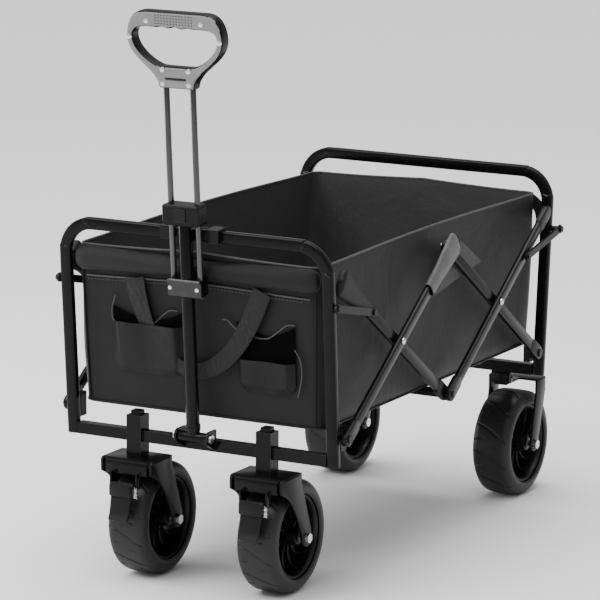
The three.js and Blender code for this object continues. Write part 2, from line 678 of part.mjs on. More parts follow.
addEndFrames();
add('cross_tube', crossTube(), 'paint');
for (const side of Object.keys(SIDES)) {
  addScissorSide(side);
  addRunningGear(side);
}
addTub();
addHandle();
wagon.position.y = -ORIGIN_Y;

export default wagon;
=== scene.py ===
"""Folding utility wagon with a pull handle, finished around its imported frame."""

import math

import bpy
from mathutils import Matrix, Vector, noise


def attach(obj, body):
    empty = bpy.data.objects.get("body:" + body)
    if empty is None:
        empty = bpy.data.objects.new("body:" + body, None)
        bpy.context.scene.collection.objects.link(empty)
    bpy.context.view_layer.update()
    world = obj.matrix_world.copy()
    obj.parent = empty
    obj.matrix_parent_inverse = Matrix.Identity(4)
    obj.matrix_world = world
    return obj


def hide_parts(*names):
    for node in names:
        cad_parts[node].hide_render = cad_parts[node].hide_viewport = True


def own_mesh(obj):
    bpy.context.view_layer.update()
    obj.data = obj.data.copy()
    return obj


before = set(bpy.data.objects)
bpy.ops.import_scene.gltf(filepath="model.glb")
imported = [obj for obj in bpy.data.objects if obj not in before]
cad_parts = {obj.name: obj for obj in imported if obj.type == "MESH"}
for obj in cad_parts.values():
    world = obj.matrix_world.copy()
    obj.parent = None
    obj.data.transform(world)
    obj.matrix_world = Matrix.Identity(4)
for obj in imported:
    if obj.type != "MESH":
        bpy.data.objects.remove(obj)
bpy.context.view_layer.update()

bl_info = {
    "name": "Folding wagon",
    "version": (1, 0, 0),
    "blender": (4, 5, 0),
    "location": "3D View > Sidebar > Wagon",
    "description": "Builds the cloth, wheels, forks and handle of a folding wagon on its frame",
    "category": "Object",
}

# All lengths are in metres.
SHIFT = 0.0208  # the wagon's middle lies this far behind the middle between its end frames
LEAN = math.radians(4.4)
BASE_Z = 0.231
BASE_Y = 0.386
FRAME_TOP = 0.597
RIM_Z = 0.556
FLOOR_Z = 0.289
TUB_HALF = 0.2195
WHEEL_R = 0.094
RIM_R = 0.069
AXLE_Z = 0.094
CASTER_X = 0.120
CASTER_AXLE_Y = -0.338 - SHIFT
STEM_Y = -0.386 - SHIFT
REAR_X = 0.169
REAR_AXLE_Y = 0.428 - SHIFT
HANDLE_LEAN = math.radians(4.6)
HANDLE_Y = -0.413 - SHIFT
HANDLE_Z = 0.256
LOW_Z = 0.276
HIGH_Z = 0.5256
MID_Y = -0.005 - SHIFT
FRONT_Y = -0.375 - SHIFT
REAR_Y = 0.365 - SHIFT
SIDES = (("right", 1), ("left", -1))
SHARP = math.radians(35)
TUB_CORNER = 0.016
LAMPS = (  # name, place, point it faces, power, size
    ("key", (-1.6, -2.6, 2.9), (0, 0, 0.4), 60, 1.8),
    ("side", (3.2, -0.4, 2.6), (0, 0, 0.3), 9, 1.4),
    ("top", (0.2, 0.4, 3.6), (0, 0, 0.3), 60, 2.4),
    ("low", (-2.8, -0.6, 0.9), (0, 0, 0.4), 35, 1.2),
)
CAMERA_AIM = (-0.030, -SHIFT, 0.405)


# ------------------------------------------------------------------ settings
def length(name, description, default):
    return bpy.props.FloatProperty(
        name=name, description=description, default=default, unit="LENGTH", precision=4
    )


def colour(name, description, default):
    return bpy.props.FloatVectorProperty(
        name=name, description=description, default=default, size=3, subtype="COLOR", min=0, max=1
    )


class WAGON_PG_sizes(bpy.types.PropertyGroup):
    """Sizes of the cloth and the tread."""

    cloth: length("Cloth thickness", "Thickness of the tub's coated cloth", 0.0022)
    piping: length("Piping radius", "Radius of the cord sewn into the tub's rim", 0.0019)
    roll: length("Roll radius", "Radius of the stuffed roll across the front", 0.0210)
    webbing: length("Webbing width", "Width of the carrying strap", 0.034)
    tread: length("Tread depth", "Depth of the grooves in the tyres", 0.0022)
    stitch: length("Stitch pitch", "Distance from one stitch to the next", 0.0065)


class WAGON_PG_colours(bpy.types.PropertyGroup):
    """Colours of the finishes."""

    paint: colour("Frame paint", "Powder coat of the tubes and arms", (0.0035, 0.0035, 0.0038))
    cloth: colour("Tub cloth", "Outside of the tub", (0.0078, 0.0078, 0.0080))
    # The inside is lighter than the outside cloth: painted light falling inside the tub.
    lining_painted_light: colour("Lining", "Inside of the tub", (0.036, 0.036, 0.0365))
    vinyl: colour("Sleeve vinyl", "Sleeves over the arm ends", (0.085, 0.085, 0.085))
    rubber: colour("Tyre rubber", "Tyres", (0.0105, 0.0105, 0.0105))
    grip: colour("Grip", "Hand grip", (0.20, 0.20, 0.203))


def sizes():
    return bpy.context.scene.wagon_sizes


def colours():
    return bpy.context.scene.wagon_colours


# ------------------------------------------------------------------ modelling
def bare():
    if bpy.context.object and bpy.context.object.mode != "OBJECT":
        bpy.ops.object.mode_set(mode="OBJECT")
    bpy.ops.object.select_all(action="DESELECT")


def only(piece):
    bare()
    piece.select_set(True)
    bpy.context.view_layer.objects.active = piece


def named(piece, name):
    piece.name = name
    piece.data.name = name
    return piece


def settle(piece):
    """Puts the piece's place into its mesh."""
    only(piece)
    bpy.ops.object.transform_apply(location=True, rotation=True, scale=True)
    return piece


def modify(piece, kind, **values):
    only(piece)
    made = piece.modifiers.new(kind, kind)
    for key, value in values.items():
        setattr(made, key, value)
    bpy.ops.object.modifier_apply(modifier=made.name)
    return piece


def rounded(piece, edge):
    """Rounds the sharp edges of a piece."""
    if edge > 0:
        modify(piece, "BEVEL", width=edge, segments=2, limit_method="ANGLE", angle_limit=SHARP)
    return piece


def box(name, low, high, edge=0.001):
    """A cube at its size and place with its edges rounded."""
    bare()
    middle = [(a + b) / 2 for a, b in zip(low, high)]
    bpy.ops.mesh.primitive_cube_add(size=1, location=middle, scale=[b - a for a, b in zip(low, high)])
    return rounded(settle(named(bpy.context.object, name)), edge)


def rod(name, start, end, radius, sides=32, edge=0.0008):
    bare()
    start, end = Vector(start), Vector(end)
    turn = (end - start).to_track_quat("Z", "Y").to_euler()
    bpy.ops.mesh.primitive_cylinder_add(
        vertices=sides, radius=radius, depth=(end - start).length, location=(start + end) / 2, rotation=turn
    )
    return rounded(settle(named(bpy.context.object, name)), edge)


def plate(name, corners, lay, thickness, edge=0.001):
    """A sheet of metal or plastic cut to an outline. lay(a, b, depth) places a point of it."""
    bare()
    bpy.ops.mesh.primitive_circle_add(vertices=len(corners), radius=1, fill_type="NGON")
    piece = named(bpy.context.object, name)
    for vertex, (a, b) in zip(piece.data.vertices, corners):
        vertex.co = lay(a, b, 0)
    through = Vector(lay(*corners[0], thickness)) - Vector(lay(*corners[0], 0))
    bpy.ops.object.mode_set(mode="EDIT")
    bpy.ops.mesh.select_all(action="SELECT")
    bpy.ops.mesh.extrude_region_move(TRANSFORM_OT_translate={"value": through})
    bpy.ops.mesh.select_all(action="SELECT")
    bpy.ops.mesh.normals_make_consistent(inside=False)
    bpy.ops.object.mode_set(mode="OBJECT")
    return rounded(piece, edge)


def laid(name, across, along, place, closed=False, ring=False, capped=False, measure=(1, 1)):
    """A grid laid to a surface. place(u, v) gives the point; closed joins u, ring joins v."""
    bare()
    bpy.ops.mesh.primitive_grid_add(x_subdivisions=across, y_subdivisions=along, size=2, calc_uvs=True)
    piece = named(bpy.context.object, name)
    for vertex in piece.data.vertices:
        vertex.co = place((vertex.co.x + 1) / 2, (vertex.co.y + 1) / 2)
    for corner in piece.data.uv_layers[0].data:
        corner.uv = (corner.uv[0] * measure[0], corner.uv[1] * measure[1])
    bpy.ops.object.mode_set(mode="EDIT")
    if closed or ring:
        bpy.ops.mesh.select_all(action="SELECT")
        bpy.ops.mesh.remove_doubles(threshold=0.00001)
    if capped:
        bpy.ops.mesh.select_all(action="SELECT")
        bpy.ops.mesh.fill_holes(sides=0)
    if closed:
        bpy.ops.mesh.select_all(action="SELECT")
        bpy.ops.mesh.normals_make_consistent(inside=False)
    bpy.ops.object.mode_set(mode="OBJECT")
    return piece


def walk(points, ring=False):
    """A function from 0..1 to a smooth place and direction along the points."""
    points = [Vector(p) for p in points]
    count = len(points)
    spans = count if ring else count - 1

    def pick(i):
        return points[i % count] if ring else points[max(0, min(count - 1, i))]

    def at(t):
        t = min(max(t, 0), 1) * spans
        i = int(min(t, spans - 1e-9))
        f = t - i
        a, b, c, d = pick(i - 1), pick(i), pick(i + 1), pick(i + 2)
        bow, twist = 2 * a - 5 * b + 4 * c - d, 3 * b - a - 3 * c + d
        place = 0.5 * (2 * b + (c - a) * f + bow * f**2 + twist * f**3)
        run = 0.5 * ((c - a) + 2 * bow * f + 3 * twist * f**2)
        return place, (run if run.length > 1e-9 else c - b).normalized()

    return at


def squared(angle, power):
    """Cosine and sine of an angle; a power below one makes the circle squarer."""
    return [math.copysign(abs(k) ** power, k) for k in (math.cos(angle), math.sin(angle))]


def swept(name, points, half_wide, half_high, side, steps, around=12, square=1.0, ring=False):
    """A bar of one section led along points. side is the direction its width lies in."""
    at = walk(points, ring)
    side = Vector(side)

    def place(u, v):
        middle, run = at(v)
        wide = (side - run * side.dot(run)).normalized()
        high = run.cross(wide)
        c, s = squared(u * 2 * math.pi, square)
        return middle + wide * half_wide * c + high * half_high * s

    return laid(name, around, steps, place, closed=True, ring=ring, capped=not ring)


def turned(name, profile, steps, centre=(0, 0, 0)):
    """A closed section of (radius, x) points turned about the X axis."""
    count = len(profile)

    def place(u, v):
        radius, x = profile[round(v * (count - 1)) % (count - 1)]
        a = u * 2 * math.pi
        return (centre[0] + x, centre[1] + radius * math.cos(a), centre[2] + radius * math.sin(a))

    return laid(name, steps, count - 1, place, closed=True, ring=True)


def sideways(x, sign=1):
    """Lays an outline of (y, z) points as a plate that faces sideways, x out from the middle."""

    def lay(a, b, depth):
        return (sign * (x + depth), a, b)

    return lay


def arc(y, z, wide, high, angles):
    """Points round (y, z) at angles in degrees."""
    turns = [math.radians(angle) for angle in angles]
    return [(y + wide * math.cos(a), z + high * math.sin(a)) for a in turns]


def joined(name, pieces):
    bare()
    for piece in pieces:
        piece.select_set(True)
    bpy.context.view_layer.objects.active = pieces[0]
    bpy.ops.object.join()
    return named(bpy.context.object, name)


def copied(piece, name, offset=(0, 0, 0)):
    twin = piece.copy()
    twin.data = piece.data.copy()
    bpy.context.collection.objects.link(twin)
    twin.data.transform(Matrix.Translation(offset))
    return named(twin, name)


def dressed(piece, material, body, replaces=(), angle=35):
    """Finish, slot and body of a piece, and the frame nodes that it stands for."""
    if not piece.data.materials:
        piece.data.materials.append(finish(material))
    only(piece)
    bpy.ops.object.shade_smooth_by_angle(angle=math.radians(angle))
    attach(piece, body)
    if replaces:
        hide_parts(*replaces)
    return piece


def sewn(piece, material, body="wagon_front", replaces=()):
    """A piece of the tub's cloth, with the slot and smoothing that all of them share."""
    return dressed(piece, material, body, replaces, 60)


def folding(piece):
    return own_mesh(piece)


def front_y(z):
    return -(BASE_Y + (z - BASE_Z) * math.tan(LEAN)) - SHIFT


def rear_y(z):
    return BASE_Y + (z - BASE_Z) * math.tan(LEAN) - SHIFT


def on_handle(x, y, z):
    c, s = math.cos(HANDLE_LEAN), math.sin(HANDLE_LEAN)
    return Vector((x, HANDLE_Y + y * c - z * s, HANDLE_Z + y * s + z * c))


def relaxed(piece, held, cap, pressure=0.0, frames=20, bend=2):
    """Lets cloth settle between the points that are held; no point moves further than cap."""
    rest = [v.co.copy() for v in piece.data.vertices]
    only(piece)
    if held:
        pinned = piece.vertex_groups.new(name="held")
        pinned.add([i for i, co in enumerate(rest) if held(co)], 1.0, "REPLACE")
    cloth = piece.modifiers.new("Cloth", "CLOTH")
    rules = cloth.settings
    rules.quality = 6
    rules.mass = 0.3
    rules.tension_stiffness = rules.compression_stiffness = 25
    rules.bending_stiffness = bend
    if held:
        rules.vertex_group_mass = "held"
    if pressure:
        rules.use_pressure = True
        rules.uniform_pressure_force = pressure
        rules.effector_weights.gravity = 0
    cloth.point_cache.frame_end = frames
    for step in range(1, frames + 1):
        bpy.context.scene.frame_set(step)
    bpy.ops.object.modifier_apply(modifier=cloth.name)
    for vertex, start in zip(piece.data.vertices, rest):
        moved = vertex.co - start
        if moved.length > cap:
            vertex.co = start + moved * (cap / moved.length)
    bpy.context.scene.frame_set(1)
    piece.vertex_groups.clear()
    return piece


# ------------------------------------------------------------------ finishes
def group(name, inputs, outputs):
    """A new node group with its sockets, its input node and its output node."""
    tree = bpy.data.node_groups.new(name, "ShaderNodeTree")
    for label, value in inputs:
        tree.interface.new_socket(label, in_out="INPUT", socket_type="NodeSocketFloat").default_value = value
    for label in outputs:
        tree.interface.new_socket(label, in_out="OUTPUT", socket_type="NodeSocketFloat")
    return tree, tree.nodes.new("NodeGroupInput"), tree.nodes.new("NodeGroupOutput")


def maths(tree, kind, a, b=None, c=None):
    node = tree.nodes.new("ShaderNodeMath")
    node.operation = kind
    for socket, value in zip(node.inputs, (a, b, c)):
        if value is None:
            continue
        if isinstance(value, (int, float)):
            socket.default_value = value
        else:
            tree.links.new(value, socket)
    return node.outputs[0]


def cloud(tree, vector, scale, detail=3, rough=0.5, warp=0.0):
    node = tree.nodes.new("ShaderNodeTexNoise")
    tree.links.new(vector, node.inputs["Vector"])
    if isinstance(scale, (int, float)):
        node.inputs["Scale"].default_value = scale
    else:
        tree.links.new(scale, node.inputs["Scale"])
    node.inputs["Detail"].default_value = detail
    node.inputs["Roughness"].default_value = rough
    node.inputs["Distortion"].default_value = warp
    return node.outputs[0]


def place_of(tree):
    return tree.nodes.new("ShaderNodeTexCoord").outputs["Object"]


def grain_group():
    """Fine moulded or sprayed grain: a height and a slow change of shade."""
    tree, given, out = group("grain", [("Scale", 900.0), ("Blotch", 14.0)], ["Height", "Shade"])
    where = place_of(tree)
    fine = cloud(tree, where, given.outputs["Scale"], 2, 0.6)
    blotch = cloud(tree, where, given.outputs["Blotch"], 4, 0.6)
    tree.links.new(fine, out.inputs["Height"])
    slow = maths(tree, "MULTIPLY", blotch, 0.65)
    tree.links.new(maths(tree, "MULTIPLY_ADD", fine, 0.35, slow), out.inputs["Shade"])
    return tree


def wear_and_highlight_group():
    """Lighter edges, broken up by noise: partly a scuffed, worn surface, partly a painted highlight along the
    edges.
    """
    tree, given, out = group("edge_wear_and_highlight", [("Amount", 0.5), ("Scale", 60.0)], ["Mask"])
    eased = tree.nodes.new("ShaderNodeBevel")
    eased.inputs["Radius"].default_value = 0.0012
    agree = tree.nodes.new("ShaderNodeVectorMath")
    agree.operation = "DOT_PRODUCT"
    tree.links.new(eased.outputs[0], agree.inputs[0])
    tree.links.new(tree.nodes.new("ShaderNodeNewGeometry").outputs["Normal"], agree.inputs[1])
    sharp = maths(tree, "MULTIPLY", maths(tree, "SUBTRACT", 1.0, agree.outputs["Value"]), 8.0)
    broken = cloud(tree, place_of(tree), given.outputs["Scale"], 5, 0.7)
    mask = maths(tree, "MULTIPLY", maths(tree, "MULTIPLY", sharp, broken), given.outputs["Amount"])
    node = tree.nodes.new("ShaderNodeClamp")
    tree.links.new(mask, node.inputs[0])
    tree.links.new(node.outputs[0], out.inputs["Mask"])
    return tree


def weave_group():
    """Plain weave: crossing threads and soft creases, with a colour that follows the crease height: painted
    shade in the hollows and a painted highlight on the crests.
    """
    tree, given, out = group(
        "weave", [("Threads", 5200.0), ("Crease", 6.0), ("Crease depth", 1.0)], ["Height", "Folds", "Shade"]
    )
    where = place_of(tree)
    parts = tree.nodes.new("ShaderNodeSeparateXYZ")
    tree.links.new(where, parts.inputs[0])
    across = maths(tree, "ADD", parts.outputs[0], parts.outputs[1])
    warp = maths(tree, "SINE", maths(tree, "MULTIPLY", across, given.outputs["Threads"]))
    weft = maths(tree, "SINE", maths(tree, "MULTIPLY", parts.outputs[2], given.outputs["Threads"]))
    threads = maths(tree, "MULTIPLY_ADD", maths(tree, "MULTIPLY", warp, weft), 0.5, 0.5)
    folds = cloud(tree, where, given.outputs["Crease"], 5, 0.55, 1.2)
    tree.links.new(threads, out.inputs["Height"])
    tree.links.new(maths(tree, "MULTIPLY", folds, given.outputs["Crease depth"]), out.inputs["Folds"])
    # The colour follows the crease height: painted shade in the crease hollows and a painted highlight on the
    # crests; the threads add a fine pattern of tone.
    shade = maths(tree, "MULTIPLY_ADD", folds, 0.7, maths(tree, "MULTIPLY", threads, 0.3))
    tree.links.new(shade, out.inputs["Shade"])
    return tree


def effect(name):
    makers = {"grain": grain_group, "edge_wear_and_highlight": wear_and_highlight_group, "weave": weave_group}
    return bpy.data.node_groups.get(name) or makers[name]()


def placed(tree, name, **values):
    node = tree.nodes.new("ShaderNodeGroup")
    node.node_tree = effect(name)
    for key, value in values.items():
        node.inputs[key.replace("_", " ")].default_value = value
    return node


def mixed(tree, factor, a, b):
    node = tree.nodes.new("ShaderNodeMix")
    node.data_type = "RGBA"
    tree.links.new(factor, node.inputs[0])
    for socket, value in ((node.inputs[6], a), (node.inputs[7], b)):
        if isinstance(value, tuple):
            socket.default_value = value
        else:
            tree.links.new(value, socket)
    return node.outputs[2]


def tint(rgb, k):
    return tuple(min(1, c * k) for c in rgb) + (1,)


def shaded(
    name, rgb, rough, spread=0.1, metal=0.0, texture="grain", bump=0.0002, wear=0.0, coat=0.0, sheen=0.0,
    gloss=0.3, **values
):
    """A finish from a texture group, with lighter edges (partly worn, partly a painted highlight), a clear
    coat or a sheen where asked.
    """
    material = bpy.data.materials.new(name)
    material.use_nodes = True
    tree = material.node_tree
    shader = tree.nodes["Principled BSDF"]
    shader.inputs["Metallic"].default_value = metal
    shader.inputs["Specular IOR Level"].default_value = gloss
    shader.inputs["Coat Weight"].default_value = coat
    shader.inputs["Coat Roughness"].default_value = 0.18
    shader.inputs["Sheen Weight"].default_value = sheen
    shader.inputs["Sheen Roughness"].default_value = 0.45
    source = placed(tree, texture, **values)
    shade = source.outputs["Shade"]
    # On woven finishes this shade follows the creases, as painted shade and highlight; on the others it is a
    # random change of tone.
    surface = mixed(tree, shade, tint(rgb, 0.6), tint(rgb, 1.5))
    # Lighter edges: partly a worn surface, partly a painted highlight along the edges.
    if wear:
        mask = placed(tree, "edge_wear_and_highlight", Amount=wear).outputs["Mask"]
        surface = mixed(tree, mask, surface, tint([max(rgb) + 0.08] * 3, 1))
    tree.links.new(surface, shader.inputs["Base Color"])
    tree.links.new(maths(tree, "MULTIPLY_ADD", shade, 2 * spread, rough - spread), shader.inputs["Roughness"])
    height = source.outputs["Height"]
    normal = None
    if texture == "weave":
        folds = tree.nodes.new("ShaderNodeBump")
        folds.inputs["Distance"].default_value = 0.008
        folds.inputs["Strength"].default_value = 0.55
        tree.links.new(source.outputs["Folds"], folds.inputs["Height"])
        normal = folds.outputs[0]
    bumps = tree.nodes.new("ShaderNodeBump")
    bumps.inputs["Distance"].default_value = bump
    bumps.inputs["Strength"].default_value = 0.6
    tree.links.new(height, bumps.inputs["Height"])
    if normal:
        tree.links.new(normal, bumps.inputs["Normal"])
    tree.links.new(bumps.outputs[0], shader.inputs["Normal"])
    return material


def finish(name):
    """The finish of that name, made the first time it is asked for."""
    found = bpy.data.materials.get("wagon_" + name)
    if found:
        return found
    c = colours()
    # Several of these finishes get lighter edges: partly a worn surface, partly a painted highlight along the
    # edges.
    hard = {
        "frame_paint": dict(
            rgb=c.paint, rough=0.22, spread=0.05, bump=0.0001, wear=0.4, gloss=0.13, Scale=700.0
        ),
        "zinc": dict(rgb=(0.72, 0.72, 0.70), rough=0.26, metal=1.0, bump=0.0001, Scale=1500.0, Blotch=160.0),
        "steel_plate": dict(
            rgb=(0.045, 0.045, 0.045), rough=0.28, metal=1.0, bump=0.0001, wear=0.4, Blotch=60.0
        ),
        "chrome_rod": dict(
            rgb=(0.05, 0.05, 0.052), rough=0.18, spread=0.05, metal=0.6, bump=0.00005, coat=0.5
        ),
        "hard_plastic": dict(
            rgb=(0.004, 0.004, 0.0043), rough=0.27, spread=0.07, bump=0.00018, wear=0.3, gloss=0.15,
            Scale=1300.0,
        ),
        "brake_plastic": dict(
            rgb=(0.008, 0.008, 0.0083), rough=0.42, bump=0.00025, wear=0.3, gloss=0.15, Scale=1100.0
        ),
        "grip_plastic": dict(rgb=c.grip, rough=0.40, spread=0.08, wear=0.2, Scale=1200.0, Blotch=22.0),
        "tyre_rubber": dict(rgb=c.rubber, rough=0.44, bump=0.0003, wear=0.35, Scale=800.0, Blotch=26.0),
        "rim_plastic": dict(rgb=(0.003, 0.003, 0.0033), rough=0.38, spread=0.08, Scale=900.0),
    }
    woven = {
        "tub_cloth": dict(rgb=c.cloth, rough=0.44, bump=0.0003, sheen=0.01, gloss=0.18),
        # The inside of the tub is painted lighter than the outside cloth, for the light that falls inside.
        "tub_lining_painted_light": dict(rgb=c.lining_painted_light, rough=0.60, bump=0.0003, sheen=0.02, gloss=0.2, Crease=4.0),
        "sleeve_vinyl": dict(rgb=c.vinyl, rough=0.5, Crease=26.0, sheen=0.08),
        "flap_cloth": dict(rgb=(0.036, 0.035, 0.031), rough=0.5, bump=0.0003, Crease=12.0),
        "webbing": dict(
            rgb=(0.012, 0.012, 0.012), rough=0.5, bump=0.0007, sheen=0.05, gloss=0.2, Threads=2600.0,
            Crease=60.0,
        ),
        "piping": dict(rgb=(0.060, 0.060, 0.060), rough=0.42, bump=0.0003, Crease=80.0),
        # Near-black: on the pocket nets partly their own colour, partly painted shade of the pockets'
        # insides; on the grip's dimples, painted shade.
        "black_net_and_painted_shade": dict(
            rgb=(0.0015, 0.0015, 0.0015), rough=0.85, bump=0.0012, gloss=0.04, Threads=1500.0, Crease=40.0
        ),
        "thread": dict(rgb=(0.09, 0.09, 0.09), rough=0.6, Threads=9000.0),
    }
    if name in woven:
        return shaded("wagon_" + name, texture="weave", **woven[name])
    return shaded("wagon_" + name, **hard[name])


# ------------------------------------------------------------------ frame
class WAGON_OT_frame_finishes(bpy.types.Operator):
    """Gives every carried-over frame part its finish"""

    bl_idname = "wagon.frame_finishes"
    bl_label = "Frame finishes"

    def execute(self, context):
        words = (
            ("axle", "zinc"), ("rivet", "zinc"), ("handle_pin", "zinc"), ("pivot", "hard_plastic"),
            ("link", "frame_paint"), ("crossbar", "frame_paint"), ("clip", "hard_plastic"),
            ("guide", "hard_plastic"), ("button", "brake_plastic"), ("slider", "steel_plate"),
            ("tyre", "tyre_rubber"), ("rim", "rim_plastic"), ("tub", "tub_cloth"), ("grip", "grip_plastic"),
            ("pedal", "brake_plastic"), ("", "frame_paint"),
        )
        for name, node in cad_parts.items():
            kind = next(kind for word, kind in words if word in name)
            if not node.material_slots:
                node.data.materials.append(None)
            for slot in node.material_slots:
                slot.material = finish(kind)
        return {"FINISHED"}


def end_frame(node, y_at, body):
    half, corner, steps = 0.240, 0.052, 7
    top = FRAME_TOP - 0.010
    line = [(-half, z) for z in (BASE_Z, 0.33, 0.43, top - corner)]
    for sign, start in ((-1, 180), (1, 90)):
        for i in range(1, steps + 1):
            a = math.radians(start - 90 * i / steps)
            line.append((sign * (half - corner) + corner * math.cos(a), top - corner + corner * math.sin(a)))
        if sign < 0:
            line += [(x, top) for x in (-0.1, 0, 0.1, half - corner)]
    line += [(half, z) for z in (0.43, 0.33, BASE_Z)]
    points = [(x, y_at(z), z) for x, z in line]
    bar = swept(f"{node}_tube", points, 0.007, 0.010, (0, 1, 0), 140, around=24, square=0.45)
    return dressed(bar, "frame_paint", body, [node])


class WAGON_OT_end_frames(bpy.types.Operator):
    """Bent tube frames at the front and the rear"""

    bl_idname = "wagon.end_frames"
    bl_label = "End frames"

    def execute(self, context):
        end_frame("front_frame", front_y, "wagon_front")
        end_frame("rear_frame", rear_y, "wagon_rear")
        return {"FINISHED"}


def stadium(start, end, half):
    """Outline of a bar with round ends, as (y, z) points."""
    steps = 10
    start, end = Vector(start), Vector(end)
    base = math.atan2(end.y - start.y, end.x - start.x)
    corners = []
    for centre, first in ((end, base - math.pi / 2), (start, base + math.pi / 2)):
        for i in range(steps + 1):
            a = first + math.pi * i / steps
            corners.append((centre.x + half * math.cos(a), centre.y + half * math.sin(a)))
    return corners


class WAGON_OT_scissor_arms(bpy.types.Operator):
    """Flat tube arms of both sides with moulded ends, and the dome heads of their rivets"""

    bl_idname = "wagon.scissor_arms"
    bl_label = "Scissor arms"

    def execute(self, context):
        ends = {
            "a": ((FRONT_Y, LOW_Z), (MID_Y, HIGH_Z), 0.2525),
            "b": ((MID_Y, LOW_Z), (FRONT_Y, HIGH_Z), 0.2415),
            "c": ((MID_Y, LOW_Z), (REAR_Y, HIGH_Z), 0.2525),
            "d": ((REAR_Y, LOW_Z), (MID_Y, HIGH_Z), 0.2415),
        }
        for letter, (start, end, x) in ends.items():
            start, end = Vector(start), Vector(end)
            run = (end - start).normalized()
            inner = [start + run * 0.006, end - run * 0.006]
            caps = [(start, start + run * 0.028), (end - run * 0.028, end)]
            for side, sign in SIDES:
                body = f"arm_{letter}_{side}"
                lay = sideways(x + 0.0006, sign)
                bar = plate(f"{body}_tube", stadium(*inner, 0.0098), lay, 0.0088, 0.0024)
                moulded = []
                for i, (a, b) in enumerate(caps):
                    moulded.append(plate(f"cap_{i}", stadium(a, b, 0.0122), sideways(x, sign), 0.010, 0.0022))
                dressed(bar, "frame_paint", body, [body])
                dressed(joined(f"{body}_ends", moulded), "hard_plastic", body)
        heads = {"front_rivet": ((FRONT_Y + MID_Y) / 2, (LOW_Z + HIGH_Z) / 2, "a"),
                 "rear_rivet": ((REAR_Y + MID_Y) / 2, (LOW_Z + HIGH_Z) / 2, "d"),
                 "top_rivet": (MID_Y, HIGH_Z, "a")}
        dome = [(0.0, 0.2385), (0.0054, 0.2385), (0.0054, 0.2402), (0.0034, 0.2406), (0.0034, 0.2626),
                (0.0056, 0.2628), (0.0052, 0.2642), (0.0036, 0.2652), (0.0, 0.2655), (0.0, 0.2385)]
        for name, (y, z, letter) in heads.items():
            for side, sign in SIDES:
                profile = [(max(r, 0.00002), sign * x) for r, x in dome]
                pin = turned(f"{name}_{side}_head", profile, 24, (0, y, z))
                dressed(pin, "zinc", f"arm_{letter}_{side}", [f"{name}_{side}"])
        return {"FINISHED"}


# ------------------------------------------------------------------ wheels
def groove(turn, x):
    """How deep the tread is cut there, from 0 to 1. turn is in pitches round the tyre."""
    s = (x + 0.031) / 0.062
    if not 0 <= s <= 1:
        return 0.0
    cut = 0.0
    for lead, low, high, bend, width in ((0.0, 0.03, 0.99, 0.66, 0.034), (0.62, 0.02, 0.34, -0.60, 0.03)):
        if low <= s <= high:
            line = lead + bend * (s**1.5)
            away = abs((turn - line + 0.5) % 1.0 - 0.5)
            cut = max(cut, 1 - min(1, (away / width) ** 2))
    for lead, where in ((0.30, 0.30), (0.80, 0.72)):
        away = math.hypot(((turn - lead + 0.5) % 1.0 - 0.5) * 0.045, (s - where) * 0.062)
        cut = max(cut, 1 - min(1, (away / 0.0022) ** 2))
    return cut


def tyre_section(steps):
    """The outside of the tyre from one bead across the tread to the other, as (radius, x)."""
    half = [
        (0.0000, WHEEL_R), (0.0200, WHEEL_R - 0.0006), (0.0275, WHEEL_R - 0.0024), (0.0315, WHEEL_R - 0.0060),
        (0.0345, WHEEL_R - 0.0110), (0.0358, WHEEL_R - 0.0165), (0.0355, WHEEL_R - 0.0210),
        (0.0335, RIM_R + 0.0008),
    ]
    line = [(r, -x) for x, r in reversed(half)] + [(r, x) for x, r in half[1:]]
    at = walk([(r, x, 0) for r, x in line])
    return [at(i / steps)[0] for i in range(steps + 1)]


def tyre(name):
    steps, pitches = 64, 12
    section = tyre_section(steps)
    depth = sizes().tread

    def place(u, v):
        point = section[round(v * steps)]
        radius, x = point.x, point.y
        if radius > WHEEL_R - 0.006:
            radius -= depth * groove(u * pitches, x)
        a = u * 2 * math.pi
        return (x, radius * math.cos(a), radius * math.sin(a))

    made = laid(name, 416, steps, place, closed=True)
    modify(made, "SOLIDIFY", thickness=0.003, offset=-1)
    return made


def rim(name):
    barrel = turned("barrel", [
        (0.0688, -0.0312), (0.0688, 0.0312), (0.0662, 0.0318), (0.0640, 0.0300), (0.0628, 0.0240),
        (0.0612, 0.0120), (0.0600, 0.0), (0.0612, -0.0120), (0.0628, -0.0240), (0.0640, -0.0300),
        (0.0662, -0.0318), (0.0688, -0.0312),
    ], 96)
    hub = turned("hub", [
        (0.0056, -0.034), (0.0105, -0.034), (0.0130, -0.032), (0.0155, -0.018), (0.0165, 0.0),
        (0.0155, 0.018), (0.0130, 0.032), (0.0105, 0.034), (0.0056, 0.034), (0.0056, -0.034),
    ], 48)
    ring = turned("web", [
        (0.0150, -0.003), (0.0330, -0.0022), (0.0330, 0.0022), (0.0150, 0.003), (0.0150, -0.003),
    ], 48)
    spokes = []
    for i in range(10):
        def place(u, v, i=i):
            r = 0.0145 + v * 0.0475
            swirl = 2 * math.pi * i / 10 + 0.62 * v**1.4
            c, s = squared(u * 2 * math.pi, 0.5)
            a = swirl + c * 0.0022 / r
            return (s * (0.0165 + 0.005 * v * v), r * math.cos(a), r * math.sin(a))

        spokes.append(laid(f"spoke_{i}", 12, 12, place, closed=True, capped=True))
    return joined(name, [barrel, hub, ring, *spokes])


